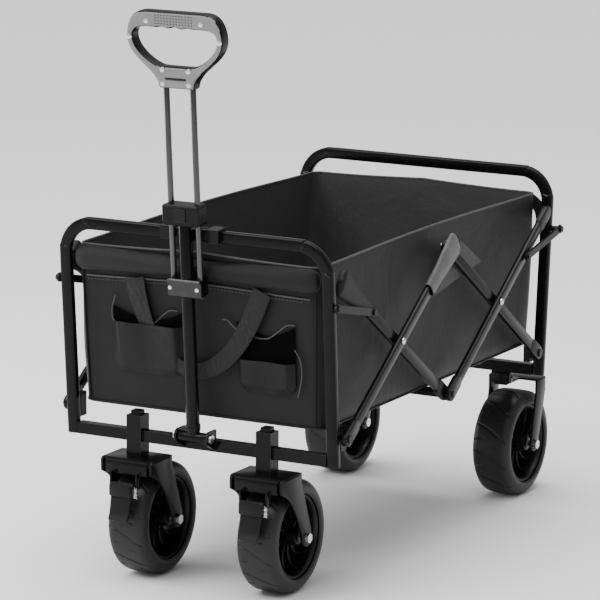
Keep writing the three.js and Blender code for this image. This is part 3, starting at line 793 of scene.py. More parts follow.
class WAGON_OT_wheels(bpy.types.Operator):
    """Four wheels: grooved tyres on dished rims with swept spokes"""

    bl_idname = "wagon.wheels"
    bl_label = "Wheels"

    def execute(self, context):
        first_tyre, first_rim = tyre("tyre_pattern"), rim("rim_pattern")
        for end, x, y in (("front", CASTER_X, CASTER_AXLE_Y), ("rear", REAR_X, REAR_AXLE_Y)):
            for side, sign in SIDES:
                body, at = f"{end}_wheel_{side}", (sign * x, y, AXLE_Z)
                rubber = copied(first_tyre, f"{end}_{side}_tyre_tread", at)
                dressed(rubber, "tyre_rubber", body, [f"{end}_{side}_tyre"], 40)
                hard = copied(first_rim, f"{end}_{side}_rim_dish", at)
                dressed(hard, "rim_plastic", body, [f"{end}_{side}_rim"], 40)
        for piece in (first_tyre, first_rim):
            bpy.data.objects.remove(piece)
        return {"FINISHED"}


# ------------------------------------------------------------------ forks
def curve_points(points, steps):
    at = walk([(a, b, 0) for a, b in points])
    return [tuple(at(i / steps)[0][:2]) for i in range(steps + 1)]


class WAGON_OT_casters(bpy.types.Operator):
    """Stamped front forks with kingpin, nut and springs, and their foot brakes"""

    bl_idname = "wagon.casters"
    bl_label = "Casters"

    def execute(self, context):
        crown_front, crown_back = STEM_Y - 0.038, STEM_Y + 0.030
        front_line = curve_points([(crown_front, 0.183), (STEM_Y - 0.012, 0.168), (STEM_Y + 0.012, 0.138),
                                   (CASTER_AXLE_Y - 0.0145, AXLE_Z + 0.004)], 10)
        foot = arc(CASTER_AXLE_Y, AXLE_Z, 0.0148, 0.0148, range(190, 366, 16))
        back_line = [(CASTER_AXLE_Y + 0.0148, AXLE_Z + 0.010), (crown_back, 0.190), (crown_back, 0.2065)]
        outline = front_line + foot + back_line + [(crown_front + 0.004, 0.2065), (crown_front, 0.2025)]
        parts = []
        for x in (-0.0480, 0.0432):
            parts.append(plate("leg", outline, sideways(x), 0.0048, 0.0014))
        half, c = 0.048, 0.010
        crown = [
            (-half + c, crown_front), (half - c, crown_front), (half, crown_front + c),
            (half, crown_back - c / 2), (half - c / 2, crown_back), (-half + c / 2, crown_back),
            (-half, crown_back - c / 2),
            (-half, crown_front + c),
        ]
        parts.append(plate("crown", crown, lambda a, b, d: (a, b, 0.2012 + d), 0.0056, 0.0018))
        lip_low, lip_high = (-0.0385, crown_front, 0.1815), (0.0385, crown_front + 0.0045, 0.2030)
        parts.append(box("lip", lip_low, lip_high, 0.0014))
        parts.append(rod("race", (0, STEM_Y, 0.1975), (0, STEM_Y, 0.2020), 0.021, 40, 0.001))
        for x in (-0.026, 0.022):
            ear_low, ear_high = (x, crown_front - 0.009, 0.160), (x + 0.004, crown_front + 0.003, 0.1860)
            parts.append(box("ear", ear_low, ear_high, 0.0016))
        fork = joined("caster_fork_pattern", parts)
        pin = joined("kingpin_pattern", [
            rod("kingpin", (0, STEM_Y, 0.199), (0, STEM_Y, 0.2825), 0.0058, 24),
            box("square_nut", (-0.0086, STEM_Y - 0.0086, 0.2754), (0.0086, STEM_Y + 0.0086, 0.2822), 0.0014),
            rod("washer", (0, STEM_Y, 0.2752), (0, STEM_Y, 0.2762), 0.0115, 32, 0.0003),
        ])
        pedal_y = -0.436 - SHIFT
        pedal_line = curve_points([
            (pedal_y + 0.004, 0.1695), (pedal_y - 0.002, 0.150), (pedal_y - 0.0050, 0.134),
            (pedal_y - 0.0090, 0.120), (pedal_y - 0.0140, 0.1095),
        ], 12)

        def pedal_place(u, v):
            i = v * 12
            k = int(min(i, 11))
            y, z = (pedal_line[k][j] + (pedal_line[k + 1][j] - pedal_line[k][j]) * (i - k) for j in (0, 1))
            wide = 0.0190 - 0.0015 * v
            return ((u * 2 - 1) * wide, y - 0.0008 * math.cos((u * 2 - 1) * 1.5), z)

        blade = laid("pedal_blade", 12, 24, pedal_place)
        modify(blade, "SOLIDIFY", thickness=0.0042, offset=0)
        rounded(blade, 0.0009)
        ribs = []
        for x in (-0.010, 0.010):
            rib_low, rib_high = (x - 0.0012, pedal_y, 0.146), (x + 0.0012, pedal_y + 0.0040, 0.162)
            ribs.append(box("rib", rib_low, rib_high, 0.0006))
        pivot_left, pivot_right = ((x, pedal_y + 0.001, 0.165) for x in (-0.0212, 0.0212))
        barrel = rod("pedal_barrel", pivot_left, pivot_right, 0.0056, 24)
        tab_low, tab_high = (-0.0205, pedal_y - 0.0095, 0.1480), (0.0205, pedal_y - 0.0015, 0.1695)
        pad = box("pedal_tab", tab_low, tab_high, 0.0038)
        pedal = joined("brake_pedal_pattern", [blade, *ribs, barrel, pad])
        coil = []
        for t in range(30):
            turn = t * 1.9
            side_on, ahead = 0.0235 + 0.0030 * math.cos(turn), pedal_y + 0.002 + 0.0030 * math.sin(turn)
            coil.append((side_on, ahead, 0.1465 + 0.00062 * t))
        at = walk(coil)
        spring_path = [at(i / 90)[0] for i in range(91)]
        spring = swept("spring_pattern", spring_path, 0.0007, 0.0007, (0, 0, 1), 180, around=6)
        for side, sign in SIDES:
            at = (sign * CASTER_X, 0, 0)
            dressed(copied(fork, f"caster_fork_{side}_stamping", at), "frame_paint",
                    f"caster_{side}", [f"caster_fork_{side}"])
            dressed(copied(pin, f"caster_{side}_kingpin", at), "frame_paint", f"caster_{side}")
            dressed(copied(spring, f"caster_{side}_spring", at), "zinc", f"caster_{side}")
            dressed(copied(pedal, f"brake_pedal_{side}_lever", at), "brake_plastic",
                    f"brake_{side}", [f"brake_pedal_{side}"])
        for piece in (fork, pin, pedal, spring):
            bpy.data.objects.remove(piece)
        return {"FINISHED"}


class WAGON_OT_rear_forks(bpy.types.Operator):
    """Fixed rear forks with their spacer blocks"""

    bl_idname = "wagon.rear_forks"
    bl_label = "Rear forks"

    def execute(self, context):
        front, back = 0.3785 - SHIFT, 0.4695 - SHIFT
        leg = arc(REAR_AXLE_Y, AXLE_Z, 0.0150, 0.0130, range(180, 361, 18))
        leg += [(back, 0.185), (back, 0.2105), (back - 0.036, 0.2105), (back - 0.036, 0.185)]
        parts = []
        for x in (-0.0478, 0.0432):
            parts.append(plate("leg", leg, sideways(x), 0.0046, 0.0013))
        parts.append(box("top", (-0.0478, back - 0.036, 0.2064), (0.0478, back, 0.2108), 0.0012))
        parts.append(box("neck", (-0.0130, front, 0.2064), (0.0130, back - 0.034, 0.2108), 0.0012))
        parts.append(box("spacer", (-0.018, front + 0.001, 0.2100), (0.018, front + 0.0155, 0.2304), 0.0012))
        fork = joined("rear_fork_pattern", parts)
        for side, sign in SIDES:
            made = copied(fork, f"rear_fork_{side}_stamping", (sign * REAR_X, 0, 0))
            dressed(made, "frame_paint", "wagon_rear", [f"rear_fork_{side}"])
        bpy.data.objects.remove(fork)
        return {"FINISHED"}


# ------------------------------------------------------------------ handle
def ray_out(outline, centre, angle):
    """Distance from the centre to the outline in a direction."""
    d = Vector((math.cos(angle), math.sin(angle)))
    best = 0.0
    for p, q in zip(outline, outline[1:] + outline[:1]):
        p, q = Vector(p) - centre, Vector(q) - centre
        e = q - p
        k = d.x * e.y - d.y * e.x
        if abs(k) < 1e-12:
            continue
        t = (p.x * e.y - p.y * e.x) / k
        s = (p.x * d.y - p.y * d.x) / k
        if t > 0 and -1e-6 <= s <= 1 + 1e-6:
            best = max(best, t)
    return best


def bezier(a, b, c, d):
    """Points along a curve from a to d that b and c pull on."""
    steps = 16
    line = []
    for i in range(steps + 1):
        t = i / steps
        o = 1 - t
        pulls = [(a[k], b[k], c[k], d[k]) for k in (0, 1)]
        line.append(tuple(o**3 * p + 3 * o**2 * t * q + 3 * o * t * t * r + t**3 * s for p, q, r, s in pulls))
    return line


def stud(name, x, z, near, far, radius, sides, edge):
    """A short round piece that stands in the handle's face."""
    return rod(name, on_handle(x, near, z), on_handle(x, far, z), radius, sides, edge)


def both_halves(right):
    return right + [(-x, z) for x, z in reversed(right)]


class WAGON_OT_grip(bpy.types.Operator):
    """Looped hand grip in two shells with finger waves and screws, dark dots as painted shade in its dimples
    and a dark strip as painted shade in its slot
    """

    bl_idname = "wagon.grip"
    bl_label = "Grip"

    def execute(self, context):
        low, top, wide = 0.572, 0.694, 0.086
        shoulder = (wide, top - 0.038)
        outer = both_halves(
            [(0.0315, low)]
            + bezier((0.032, low + 0.001), (0.034, low + 0.032), (wide + 0.004, low + 0.044), shoulder)
            + bezier(shoulder, (wide - 0.002, top - 0.012), (wide - 0.013, top), (wide - 0.034, top))
        )
        hole = both_halves(
            bezier((0.026, low + 0.035), (0.046, low + 0.038), (0.078, low + 0.061), (0.0755, top - 0.040))
            + bezier((0.0755, top - 0.040), (0.074, top - 0.030), (0.066, top - 0.026), (0.053, top - 0.026))
        )
        centre = Vector((0, 0.645))

        def place(u, v):
            a = v * 2 * math.pi
            far, near = ray_out(outer, centre, a), ray_out(hole, centre, a)
            if math.sin(a) > 0.3:
                x = near * math.cos(a)
                near += 0.0013 * math.cos(x * 2 * math.pi / 0.024) * max(0, 1 - abs(x / 0.05) ** 4)
            t = u * 2 * math.pi
            c, s = squared(t, 0.42)
            r = (far + near) / 2 + (far - near) / 2 * c
            return on_handle(r * math.cos(a), 0.0118 * s, centre.y + r * math.sin(a))

        loop = laid("grip_pattern", 28, 240, place, closed=True, ring=True)
        cut = on_handle(0, 0, 0)
        across = on_handle(0, 1, 0) - cut
        for name, keep_front in (("grip_front_shell", True), ("grip_rear_shell", False)):
            half = copied(loop, name)
            only(half)
            bpy.ops.object.mode_set(mode="EDIT")
            bpy.ops.mesh.select_all(action="SELECT")
            bpy.ops.mesh.bisect(
                plane_co=cut + across * (-0.00015 if keep_front else 0.00015), plane_no=across,
                use_fill=True, clear_outer=keep_front, clear_inner=not keep_front,
            )
            bpy.ops.object.mode_set(mode="OBJECT")
            node = "grip_front" if keep_front else "grip_rear"
            dressed(half, "grip_plastic", "handle_slide", [node], 40)
            half.data.materials.append(finish("hard_plastic"))
            for face in half.data.polygons:
                face.material_index = 0 if keep_front and face.normal.dot(across) < -0.82 else 1
        bpy.data.objects.remove(loop)
        face = -0.0118
        screws = []
        for x, z in ((0.049, 0.678), (0.0808, 0.651), (0.0235, 0.602), (0.0235, 0.580)):
            for sign in (1, -1):
                screws.append(stud("screw", sign * x, z, face + 0.003, face - 0.0008, 0.0042, 20, 0.0009))
                screws.append(stud("socket", sign * x, z, face, face - 0.0009, 0.0014, 6, 0))
        dressed(joined("grip_screws", screws), "zinc", "handle_slide")
        # Near-black dots at the dimples: painted shade inside them.
        first = stud("dot", 0, 0, face + 0.001, face - 0.0003, 0.0009, 8, 0)
        dots = []
        for row in range(4):
            for column in range(13):
                spot = on_handle((column - 6) * 0.0054, 0, 0.675 + row * 0.0044)
                dots.append(copied(first, "dot", spot - on_handle(0, 0, 0)))
        bpy.data.objects.remove(first)
        dressed(joined("grip_dimple_painted_shade", dots), "black_net_and_painted_shade", "handle_slide")
        # A dark strip at the slot: painted shade of its opening.
        slot = box("slot", (-0.0185, -0.001, 0), (0.0185, 0.001, 0.0034), 0.0004)
        lean = Matrix.Rotation(HANDLE_LEAN, 4, "X")
        slot.data.transform(Matrix.Translation(on_handle(0, face - 0.0002, 0.5865)) @ lean)
        dressed(slot, "rim_plastic", "handle_slide")
        return {"FINISHED"}


class WAGON_OT_handle(bpy.types.Operator):
    """Pull rods, post with its sleeve, cross tube and the plates on the slider"""

    bl_idname = "wagon.handle"
    bl_label = "Handle rods"

    def execute(self, context):
        for side, sign in SIDES:
            foot, head = (on_handle(sign * 0.024, 0, z) for z in (0.2335, 0.5935))
            bar = rod(f"pull_rod_{side}_bar", foot, head, 0.005, 28)
            dressed(bar, "chrome_rod", "handle_slide", [f"pull_rod_{side}"])
        post = joined("handle_post_tube", [
            rod("post", on_handle(0, 0, 0.004), on_handle(0, 0, 0.3515), 0.011, 40, 0.001),
            rod("post_sleeve", (-0.0258, HANDLE_Y, HANDLE_Z), (0.0258, HANDLE_Y, HANDLE_Z), 0.009, 32, 0.001),
            rod("post_collar", on_handle(0, 0, 0.012), on_handle(0, 0, 0.022), 0.0122, 40, 0.0014),
        ])
        dressed(post, "frame_paint", "handle", ["handle_post"])
        tube = rod("cross_tube_bar", (-0.2408, MID_Y, LOW_Z), (0.2408, MID_Y, LOW_Z), 0.008, 32)
        heads = []
        for sign in (1, -1):
            near, far = ((sign * x, MID_Y, LOW_Z) for x in (0.2400, 0.2652))
            heads.append(rod("pin_head", near, far, 0.0055, 24, 0.0012))
        whole = joined("cross_tube_assembly", [tube, *heads])
        dressed(whole, "frame_paint", "arm_b_right", ["cross_tube"])
        rivets = []
        for sign in (1, -1):
            rivets.append(stud("rivet", sign * 0.0245, 0.2500, -0.0120, -0.0143, 0.0036, 20, 0.0011))
        dressed(joined("slider_rivets", rivets), "zinc", "handle_slide")
        back = box("slider_plate", (-0.0310, 0.0100, 0.2585), (0.0310, 0.0128, 0.2636), 0.0007)
        back.data.transform(Matrix.Translation(on_handle(0, 0, 0)) @ Matrix.Rotation(HANDLE_LEAN, 4, "X"))
        dressed(back, "frame_paint", "handle_slide")
        return {"FINISHED"}


# ------------------------------------------------------------------ cloth
def perimeter(u, half, y0, y1):
    """A point round the tub and the way out from it. u starts at the middle of the front."""
    radius = TUB_CORNER
    straight = (half - radius) * 2, (y1 - y0 - 2 * radius), math.pi / 2 * radius
    total = 2 * (straight[0] + straight[1]) + 4 * straight[2]
    s = (u % 1.0) * total
    if s <= straight[0] / 2:
        return Vector((s, y0)), Vector((0, -1))
    s -= straight[0] / 2
    corners = [
        ((half - radius, y0 + radius), -90, straight[1]),
        ((half - radius, y1 - radius), 0, straight[0]),
        ((-half + radius, y1 - radius), 90, straight[1]),
        ((-half + radius, y0 + radius), 180, straight[0] / 2),
    ]
    for (cx, cy), start, run in corners:
        if s <= straight[2]:
            a = math.radians(start) + s / radius
            c, s = math.cos(a), math.sin(a)
            return Vector((cx + radius * c, cy + radius * s)), Vector((c, s))
        s -= straight[2]
        a = math.radians(start + 90)
        out = Vector((math.cos(a), math.sin(a)))
        if s <= run + 1e-9:
            return Vector((cx, cy)) + out * radius + Vector((-out.y, out.x)) * s, out
        s -= run
    return Vector((0, y0)), Vector((0, -1))


def tub_point(u, v, out_by=0.0):
    """A point of the tub's wall. v runs from the floor to the rim."""
    sag = 0.006 * math.sin(math.pi * min(1, abs(math.sin(2 * math.pi * u)))) * v
    z = FLOOR_Z + (RIM_Z - FLOOR_Z) * v - sag
    at, out = perimeter(u, TUB_HALF, front_y(z) + 0.004, rear_y(z) - 0.004)
    belly = 0.004 * math.sin(math.pi * v) * abs(out.x) ** 4
    loose = 0.0030 if out.y > -0.5 else 0.0008  # the front panel is stiffened
    ripple = loose * noise.noise(Vector((at.x * 5, at.y * 5, z * 7))) * math.sin(math.pi * v)
    spot = at + out * (belly + ripple + out_by)
    return Vector((spot.x, spot.y, z))


class WAGON_OT_tub(bpy.types.Operator):
    """The cloth tub: walls that sag between the frames, with an inside painted lighter for the light that
    falls there, floor and piped rim
    """

    bl_idname = "wagon.tub"
    bl_label = "Tub"

    def execute(self, context):
        walls = laid("tub_walls", 240, 36, tub_point, closed=True, measure=(2.4, 0.27))

        def held(co):
            at_end = co.y < front_y(co.z) + 0.03 or co.y > rear_y(co.z) - 0.03
            corner = abs(abs(co.x) - TUB_HALF) < 0.02 and at_end
            stiff = co.y < front_y(co.z) + 0.014
            return co.z > RIM_Z - 0.016 or co.z < FLOOR_Z + 0.006 or corner or stiff

        relaxed(walls, held, 0.005, frames=18, bend=12)
        walls.data.materials.append(finish("tub_cloth"))
        # The inner faces get the inside colour, painted lighter for the light that falls inside.
        walls.data.materials.append(finish("tub_lining_painted_light"))
        thick = sizes().cloth
        modify(walls, "SOLIDIFY", thickness=thick, offset=-1, material_offset=1, material_offset_rim=0)
        sewn(walls, "tub_cloth", replaces=["tub_front", "tub_rear", "tub_right", "tub_left"])
        folding(walls)

        def floor_place(u, v):
            half, corner = TUB_HALF - 0.0015, 0.015
            low, high = front_y(FLOOR_Z) + 0.0055, rear_y(FLOOR_Z) - 0.0055
            x = (u * 2 - 1) * half
            y = low + v * (high - low)
            past = Vector((max(0, abs(x) - half + corner), max(0, corner - min(y - low, high - y))))
            if past.length > corner:  # the floor's corners are as round as the walls'
                past *= corner / past.length
                x = math.copysign(half - corner + past.x, x)
                y = low + corner - past.y if v < 0.5 else high - corner + past.y
            seam = min(abs(v - k) for k in (0.25, 0.5, 0.75)) * (high - low)
            dip = 0.0022 * math.exp(-((seam / 0.006) ** 2))
            soft = 0.0007 * noise.noise(Vector((x * 9, y * 9, 0)))
            return (x, y, 0.2918 - dip + soft)

        floor = laid("tub_floor_board", 60, 160, floor_place, measure=(0.43, 0.76))
        modify(floor, "SOLIDIFY", thickness=0.0055, offset=-1)
        # The floor gets the inside colour too, painted lighter for the light that falls inside.
        dressed(floor, "tub_lining_painted_light", "wagon_front", ["tub_floor"], 50)
        folding(floor)

        r = sizes().piping
        rim_line = [tub_point(i / 160, 1.0, -0.0011) + Vector((0, 0, r * 0.6)) for i in range(160)]
        rim_cord = swept("tub_rim_piping", rim_line, r, r, (0, 0, 1), 480, around=8, ring=True)
        sewn(rim_cord, "piping")
        folding(rim_cord)
        welts = []
        for k, u in enumerate(corner_turns()):
            line = [tub_point(u, 0.02 + 0.96 * i / 24, 0.0009) for i in range(25)]
            welts.append(swept(f"welt_{k}", line, 0.0017, 0.0017, (0, 1, 0.1), 60, around=8))
        base = [tub_point(i / 160, 0.0, 0.0008) for i in range(160)]
        welts.append(swept("bottom_welt", base, 0.0018, 0.0018, (0, 0, 1), 480, around=8, ring=True))
        seams = joined("tub_corner_welts", welts)
        sewn(seams, "tub_cloth")
        folding(seams)
        return {"FINISHED"}


def corner_turns():
    """Where the four corners lie round the tub, as shares of its perimeter."""
    made = []
    steps = 2000
    last = None
    for i in range(steps):
        out = perimeter(i / steps, TUB_HALF, front_y(RIM_Z), rear_y(RIM_Z))[1]
        diagonal = abs(abs(out.x) - abs(out.y)) < 0.1
        if diagonal and (last is None or i - last > 40):
            made.append(i / steps)
        if diagonal:
            last = i
    return made


def on_front(x, z, out_by):
    return Vector((x, front_y(z) + 0.004 - out_by, z))


class WAGON_OT_front_roll(bpy.types.Operator):
    """The stuffed roll across the top of the front panel"""

    bl_idname = "wagon.front_roll"
    bl_label = "Front roll"

    def execute(self, context):
        radius = sizes().roll

        def place(u, v):
            x = (v * 2 - 1) * 0.2245
            end = min(1.0, (1 - abs(v * 2 - 1)) * 9)
            r = radius * (0.35 + 0.65 * math.sqrt(max(0.0, 1 - (1 - end) ** 2)))
            a = u * 2 * math.pi
            wave = 1 + 0.05 * noise.noise(Vector((x * 22, math.cos(a) * 0.6, math.sin(a) * 0.6)))
            y = front_y(0.532) + 0.0035 + r * 0.62 * wave * math.cos(a)
            return (x, y, 0.530 + r * 1.08 * wave * math.sin(a))

        roll = laid("front_roll", 32, 150, place, closed=True, capped=True, measure=(0.11, 0.45))
        modify(roll, "REMESH", mode="VOXEL", voxel_size=0.005)
        relaxed(roll, None, 0.005, pressure=4.0)
        modify(roll, "SUBSURF", levels=1, render_levels=1)
        sewn(roll, "tub_cloth")
        return {"FINISHED"}


class WAGON_OT_front_details(bpy.types.Operator):
    """Seams, carrying strap and the two pockets of the front panel"""

    bl_idname = "wagon.front_details"
    bl_label = "Strap and pockets"

    def execute(self, context):
        seam_xs = [-0.205 + 0.41 * i / 30 for i in range(31)]
        seam = [on_front(x, 0.503 + 0.003 * math.cos(x * 14), 0.0022) for x in seam_xs]
        welt = swept("front_seam", seam, 0.0011, 0.0016, (0, 1, 0), 120, around=8)
        sewn(welt, "piping")
        pitch = sizes().stitch
        first = box("stitch", (-0.0016, -0.0004, -0.0004), (0.0016, 0.0004, 0.0004), 0.0003)
        stitches = []
        reach, level = 0.200, 0.4975
        for i in range(int(2 * reach / pitch)):
            x = -reach + i * pitch
            stitches.append(copied(first, "stitch", on_front(x, level + 0.003 * math.cos(x * 14), 0.0035)))
        bpy.data.objects.remove(first)
        dressed(joined("front_stitches", stitches), "thread", "wagon_front")

        strap = walk([on_front(*spot) for spot in (
            (-0.112, 0.505, 0.006), (-0.105, 0.470, 0.007), (-0.088, 0.425, 0.0075), (-0.055, 0.384, 0.008),
            (-0.018, 0.362, 0.0085), (0.022, 0.368, 0.0085), (0.062, 0.398, 0.0085), (0.095, 0.445, 0.0080),
            (0.122, 0.505, 0.006),
        )])
        half = sizes().webbing / 2

        def webbing(u, v):
            spot, run = strap(v)
            across = Vector((-run.z, 0, run.x)).normalized()
            roll = 0.55 * math.sin(v * math.pi) * math.sin(v * 5.2)
            lie = across * math.cos(roll) + Vector((0, -0.35, 0)) * math.sin(roll)
            wide = half * (0.85 + 0.15 * math.cos(v * 7))
            crown = Vector((0, -0.0012 * math.cos((u - 0.5) * math.pi), 0))
            return spot + lie * (u * 2 - 1) * wide + crown

        band = laid("carrying_strap", 14, 150, webbing, measure=(0.028, 0.42))
        modify(band, "SOLIDIFY", thickness=0.0018, offset=0)
        sewn(band, "webbing")

        pockets = (("left", -0.156, -0.026, 0.347, 0.430), ("right", 0.072, 0.176, 0.338, 0.392))
        for side, left, right, low, high in pockets:
            def pouch(u, v, left=left, right=right, low=low, high=high):
                x = left + (right - left) * u
                z = low + (high - low) * v
                edge = min(u, 1 - u) * (right - left)
                round_off = 0.016 * max(0, 1 - edge / 0.02) ** 2 * (1 - v)
                full = min(1, edge / 0.012) * min(1, (z - low + 0.002) / 0.014)
                puff = 0.0125 * full * (0.55 + 0.45 * v) + 0.0012 * noise.noise(Vector((x * 30, z * 30, 3)))
                return on_front(x, z + round_off, 0.0036 + max(0, puff) * (0.8 + 0.2 * math.sin(u * 9)))

            bag = laid(f"pocket_{side}_pouch", 44, 30, pouch, measure=(right - left, high - low))
            modify(bag, "SOLIDIFY", thickness=0.0014, offset=-1)
            sewn(bag, "tub_cloth")

            top = 0.455 if side == "left" else 0.452

            def net(u, v, left=left, right=right, high=high, top=top):
                x = left + (right - left) * u
                z = high - 0.006 + (top - high + 0.006) * v - 0.020 * math.sin(math.pi * u) * v
                return on_front(x, z, 0.0036 + 0.004 * math.sin(math.pi * u) * (1 - v))

            # The net is near-black: partly its own colour, partly painted shade of the pocket's inside.
            mesh_top = laid(f"pocket_{side}_net", 40, 18, net, measure=(right - left, 0.06))
            modify(mesh_top, "SOLIDIFY", thickness=0.0008, offset=-1)
            sewn(mesh_top, "black_net_and_painted_shade")
        edges = (
            [(-0.150, 0.472), (-0.157, 0.450), (-0.155, 0.430), (-0.135, 0.427), (-0.112, 0.428)],
            [(-0.100, 0.429), (-0.079, 0.433), (-0.064, 0.446), (-0.050, 0.456), (-0.036, 0.457)],
            [(0.047, 0.452), (0.056, 0.452), (0.066, 0.443), (0.076, 0.436)],
            [(0.098, 0.431), (0.115, 0.428), (0.132, 0.431), (0.150, 0.444), (0.163, 0.454), (0.178, 0.456)],
            [(0.176, 0.416), (0.186, 0.400), (0.188, 0.372), (0.180, 0.338)],
        )
        lines = []
        for i, line in enumerate(edges):
            cord = [on_front(x, z, 0.0050) for x, z in line]
            lines.append(swept(f"edge_{i}", cord, 0.0011, 0.0011, (0, 1, 0), 40, around=8))
        sewn(joined("pocket_piping", lines), "piping")
        return {"FINISHED"}


def sleeve(name, tip, foot, shape, body, material, sign):
    """A sewn envelope over an arm's end. shape: its middle, depth, and width at the tip and the foot."""
    tip, foot = Vector(tip), Vector(foot)
    x_mid, deep_at, wide_top, wide_low = shape
    run = (tip - foot).normalized()
    normal = Vector((-run.y, run.x))

    def place(u, v):
        a = u * 2 * math.pi
        close = math.sqrt(max(0.0, 1 - max(0.0, (v - 0.90) / 0.10) ** 2))
        wide = (wide_low + (wide_top - wide_low) * v**1.5) * max(0.12, close)
        deep = deep_at * max(0.2, close)
        ripple = 1 + 0.08 * noise.noise(Vector((v * 5, math.cos(a), math.sin(a))))
        c, s = squared(a, 0.8)
        at = foot + (tip - foot) * v + normal * wide * c * ripple
        return (sign * (x_mid + deep * s), at.x, at.y)

    made = laid(name, 32, 40, place, closed=True)
    modify(made, "SOLIDIFY", thickness=0.0010, offset=-1)
    return sewn(made, material, body)


class WAGON_OT_sleeves(bpy.types.Operator):
    """Sleeves over the arm ends, their flaps and the straps at the rear corners"""

    bl_idname = "wagon.sleeves"
    bl_label = "Sleeves and straps"

    def execute(self, context):
        slope = math.atan2(HIGH_Z - LOW_Z, MID_Y - FRONT_Y)
        c, s = math.cos(slope), math.sin(slope)
        for side, sign in SIDES:
            top = (MID_Y + 0.016 * c, HIGH_Z + 0.016 * s)
            foot = (MID_Y - 0.105 * c, HIGH_Z - 0.105 * s)
            shape = (0.2592, 0.0066, 0.0255, 0.0140)
            sleeve(f"middle_sleeve_{side}", top, foot, shape, f"arm_a_{side}", "sleeve_vinyl", sign)
            front_top = (FRONT_Y - 0.012 * c, HIGH_Z + 0.012 * s)
            front_foot = (FRONT_Y + 0.098 * c, HIGH_Z - 0.098 * s)
            shape = (0.2463, 0.0078, 0.0260, 0.0150)
            sleeve(f"front_sleeve_{side}", front_top, front_foot, shape, f"arm_b_{side}", "tub_cloth", sign)

            def flap(u, v, sign=sign):
                upper = Vector((MID_Y + 0.071, HIGH_Z - 0.004))
                lower = Vector((MID_Y - 0.030, HIGH_Z - 0.080))
                tip = Vector((MID_Y + 0.150, HIGH_Z - 0.051))
                at = upper + (lower - upper) * u
                at = at + (tip - at) * v * (1 - 0.02 * u)
                return (sign * (0.2392 + 0.0008 * math.sin(u * 3) * (1 - v)), at.x, at.y)

            cloth = laid(f"middle_flap_{side}", 20, 20, flap, measure=(0.12, 0.09))
            modify(cloth, "SOLIDIFY", thickness=0.0012, offset=0)
            sewn(cloth, "flap_cloth")
            folding(cloth)
            y = rear_y(0.53) + 0.0042
            bends = (
                (0.196, 0, 0.540), (0.206, 0.0006, 0.537), (0.216, 0.0010, 0.530), (0.223, 0.0010, 0.520),
                (0.2268, 0, 0.506),
            )
            path = [(sign * x, y + out, z) for x, out, z in bends]
            side_on = (0.5 * sign, 0, 1)
            tab = swept(f"rear_strap_{side}", path, 0.0110, 0.0012, side_on, 40, around=14, square=0.6)
            sewn(tab, "webbing", "wagon_rear")
        return {"FINISHED"}


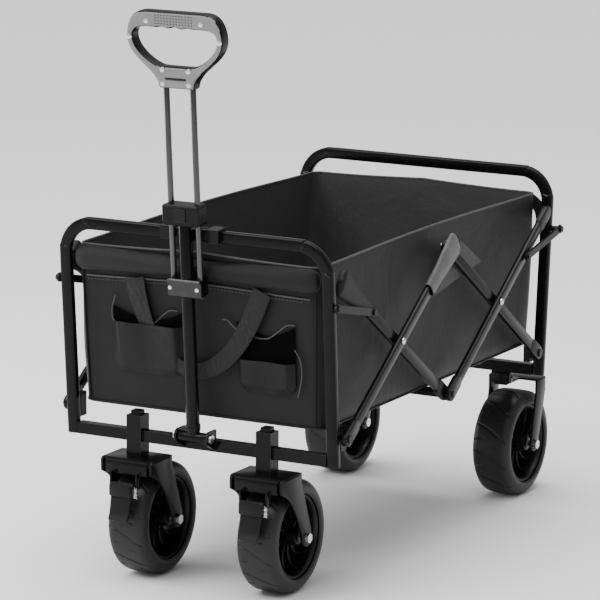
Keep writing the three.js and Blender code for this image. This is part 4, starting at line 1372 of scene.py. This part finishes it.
# ------------------------------------------------------------------ stage
class WAGON_OT_stage(bpy.types.Operator):
    """Pale floor, soft lamps and the camera"""

    bl_idname = "wagon.stage"
    bl_label = "Stage"

    def execute(self, context):
        bare()
        bpy.ops.mesh.primitive_plane_add(size=60, location=(0, 0, -0.0002))
        floor = named(bpy.context.object, "studio_floor")
        pale = bpy.data.materials.new("studio_floor")
        pale.use_nodes = True
        shader = pale.node_tree.nodes["Principled BSDF"]
        shader.inputs["Base Color"].default_value = (0.90, 0.90, 0.90, 1)
        shader.inputs["Roughness"].default_value = 0.75
        floor.data.materials.append(pale)
        world = bpy.data.worlds.new("studio")
        world.use_nodes = True
        sky = world.node_tree.nodes["Background"]
        sky.inputs["Color"].default_value = (1, 1, 1, 1)
        sky.inputs["Strength"].default_value = 0.5
        context.scene.world = world
        sun = bpy.data.lights.new("soft_sun", "SUN")
        sun.energy, sun.angle = 2.8, math.radians(70)
        overhead = bpy.data.objects.new("soft_sun", sun)
        overhead.rotation_euler = (math.radians(14), math.radians(-10), 0)
        context.scene.collection.objects.link(overhead)
        for name, place, aim, power, size in LAMPS:
            lamp = bpy.data.lights.new(name, "AREA")
            lamp.energy = power
            lamp.size = size
            holder = bpy.data.objects.new(name, lamp)
            holder.location = place
            holder.rotation_euler = (Vector(aim) - Vector(place)).to_track_quat("-Z", "Y").to_euler()
            context.scene.collection.objects.link(holder)
        azimuth, rise, roll = (math.radians(angle) for angle in (28.23, 11.47, 0.45))
        away = 6.30
        level = math.cos(rise)
        back = Vector((math.sin(azimuth) * level, -math.cos(azimuth) * level, math.sin(rise)))
        right = Vector((math.cos(azimuth), math.sin(azimuth), 0))
        up = back.cross(right)
        right_turned = right * math.cos(roll) + up * math.sin(roll)
        up_turned = back.cross(right_turned)
        data = bpy.data.cameras.new("camera")
        data.lens, data.sensor_width = 223.02, 36
        data.clip_end = 100
        camera = bpy.data.objects.new("camera", data)
        turn = Matrix((right_turned, up_turned, back)).transposed().to_4x4()
        camera.matrix_world = Matrix.Translation(Vector(CAMERA_AIM) + back * away) @ turn
        context.scene.collection.objects.link(camera)
        context.scene.camera = camera
        return {"FINISHED"}


# ------------------------------------------------------------------ panel
OPERATORS = (
    WAGON_OT_stage, WAGON_OT_frame_finishes, WAGON_OT_end_frames, WAGON_OT_scissor_arms, WAGON_OT_wheels,
    WAGON_OT_casters, WAGON_OT_rear_forks, WAGON_OT_grip, WAGON_OT_handle, WAGON_OT_tub, WAGON_OT_front_roll,
    WAGON_OT_front_details, WAGON_OT_sleeves,
)


class WAGON_PT_panel(bpy.types.Panel):
    """Lists the pieces of the wagon"""

    bl_idname = "WAGON_PT_panel"
    bl_label = "Folding wagon"
    bl_space_type = "VIEW_3D"
    bl_region_type = "UI"
    bl_category = "Wagon"

    def draw(self, context):
        for settings in (sizes(), colours()):
            for key in settings.__annotations__:
                self.layout.prop(settings, key)
        for kind in OPERATORS:
            self.layout.operator(kind.bl_idname)


CLASSES = (WAGON_PG_sizes, WAGON_PG_colours, *OPERATORS, WAGON_PT_panel)


def register():
    for kind in CLASSES:
        bpy.utils.register_class(kind)
    bpy.types.Scene.wagon_sizes = bpy.props.PointerProperty(type=WAGON_PG_sizes)
    bpy.types.Scene.wagon_colours = bpy.props.PointerProperty(type=WAGON_PG_colours)


def unregister():
    del bpy.types.Scene.wagon_colours
    del bpy.types.Scene.wagon_sizes
    for kind in reversed(CLASSES):
        bpy.utils.unregister_class(kind)


def main():
    register()
    for kind in OPERATORS:
        group_name, call = kind.bl_idname.split(".")
        getattr(getattr(bpy.ops, group_name), call)()


if __name__ == "__main__":
    main()
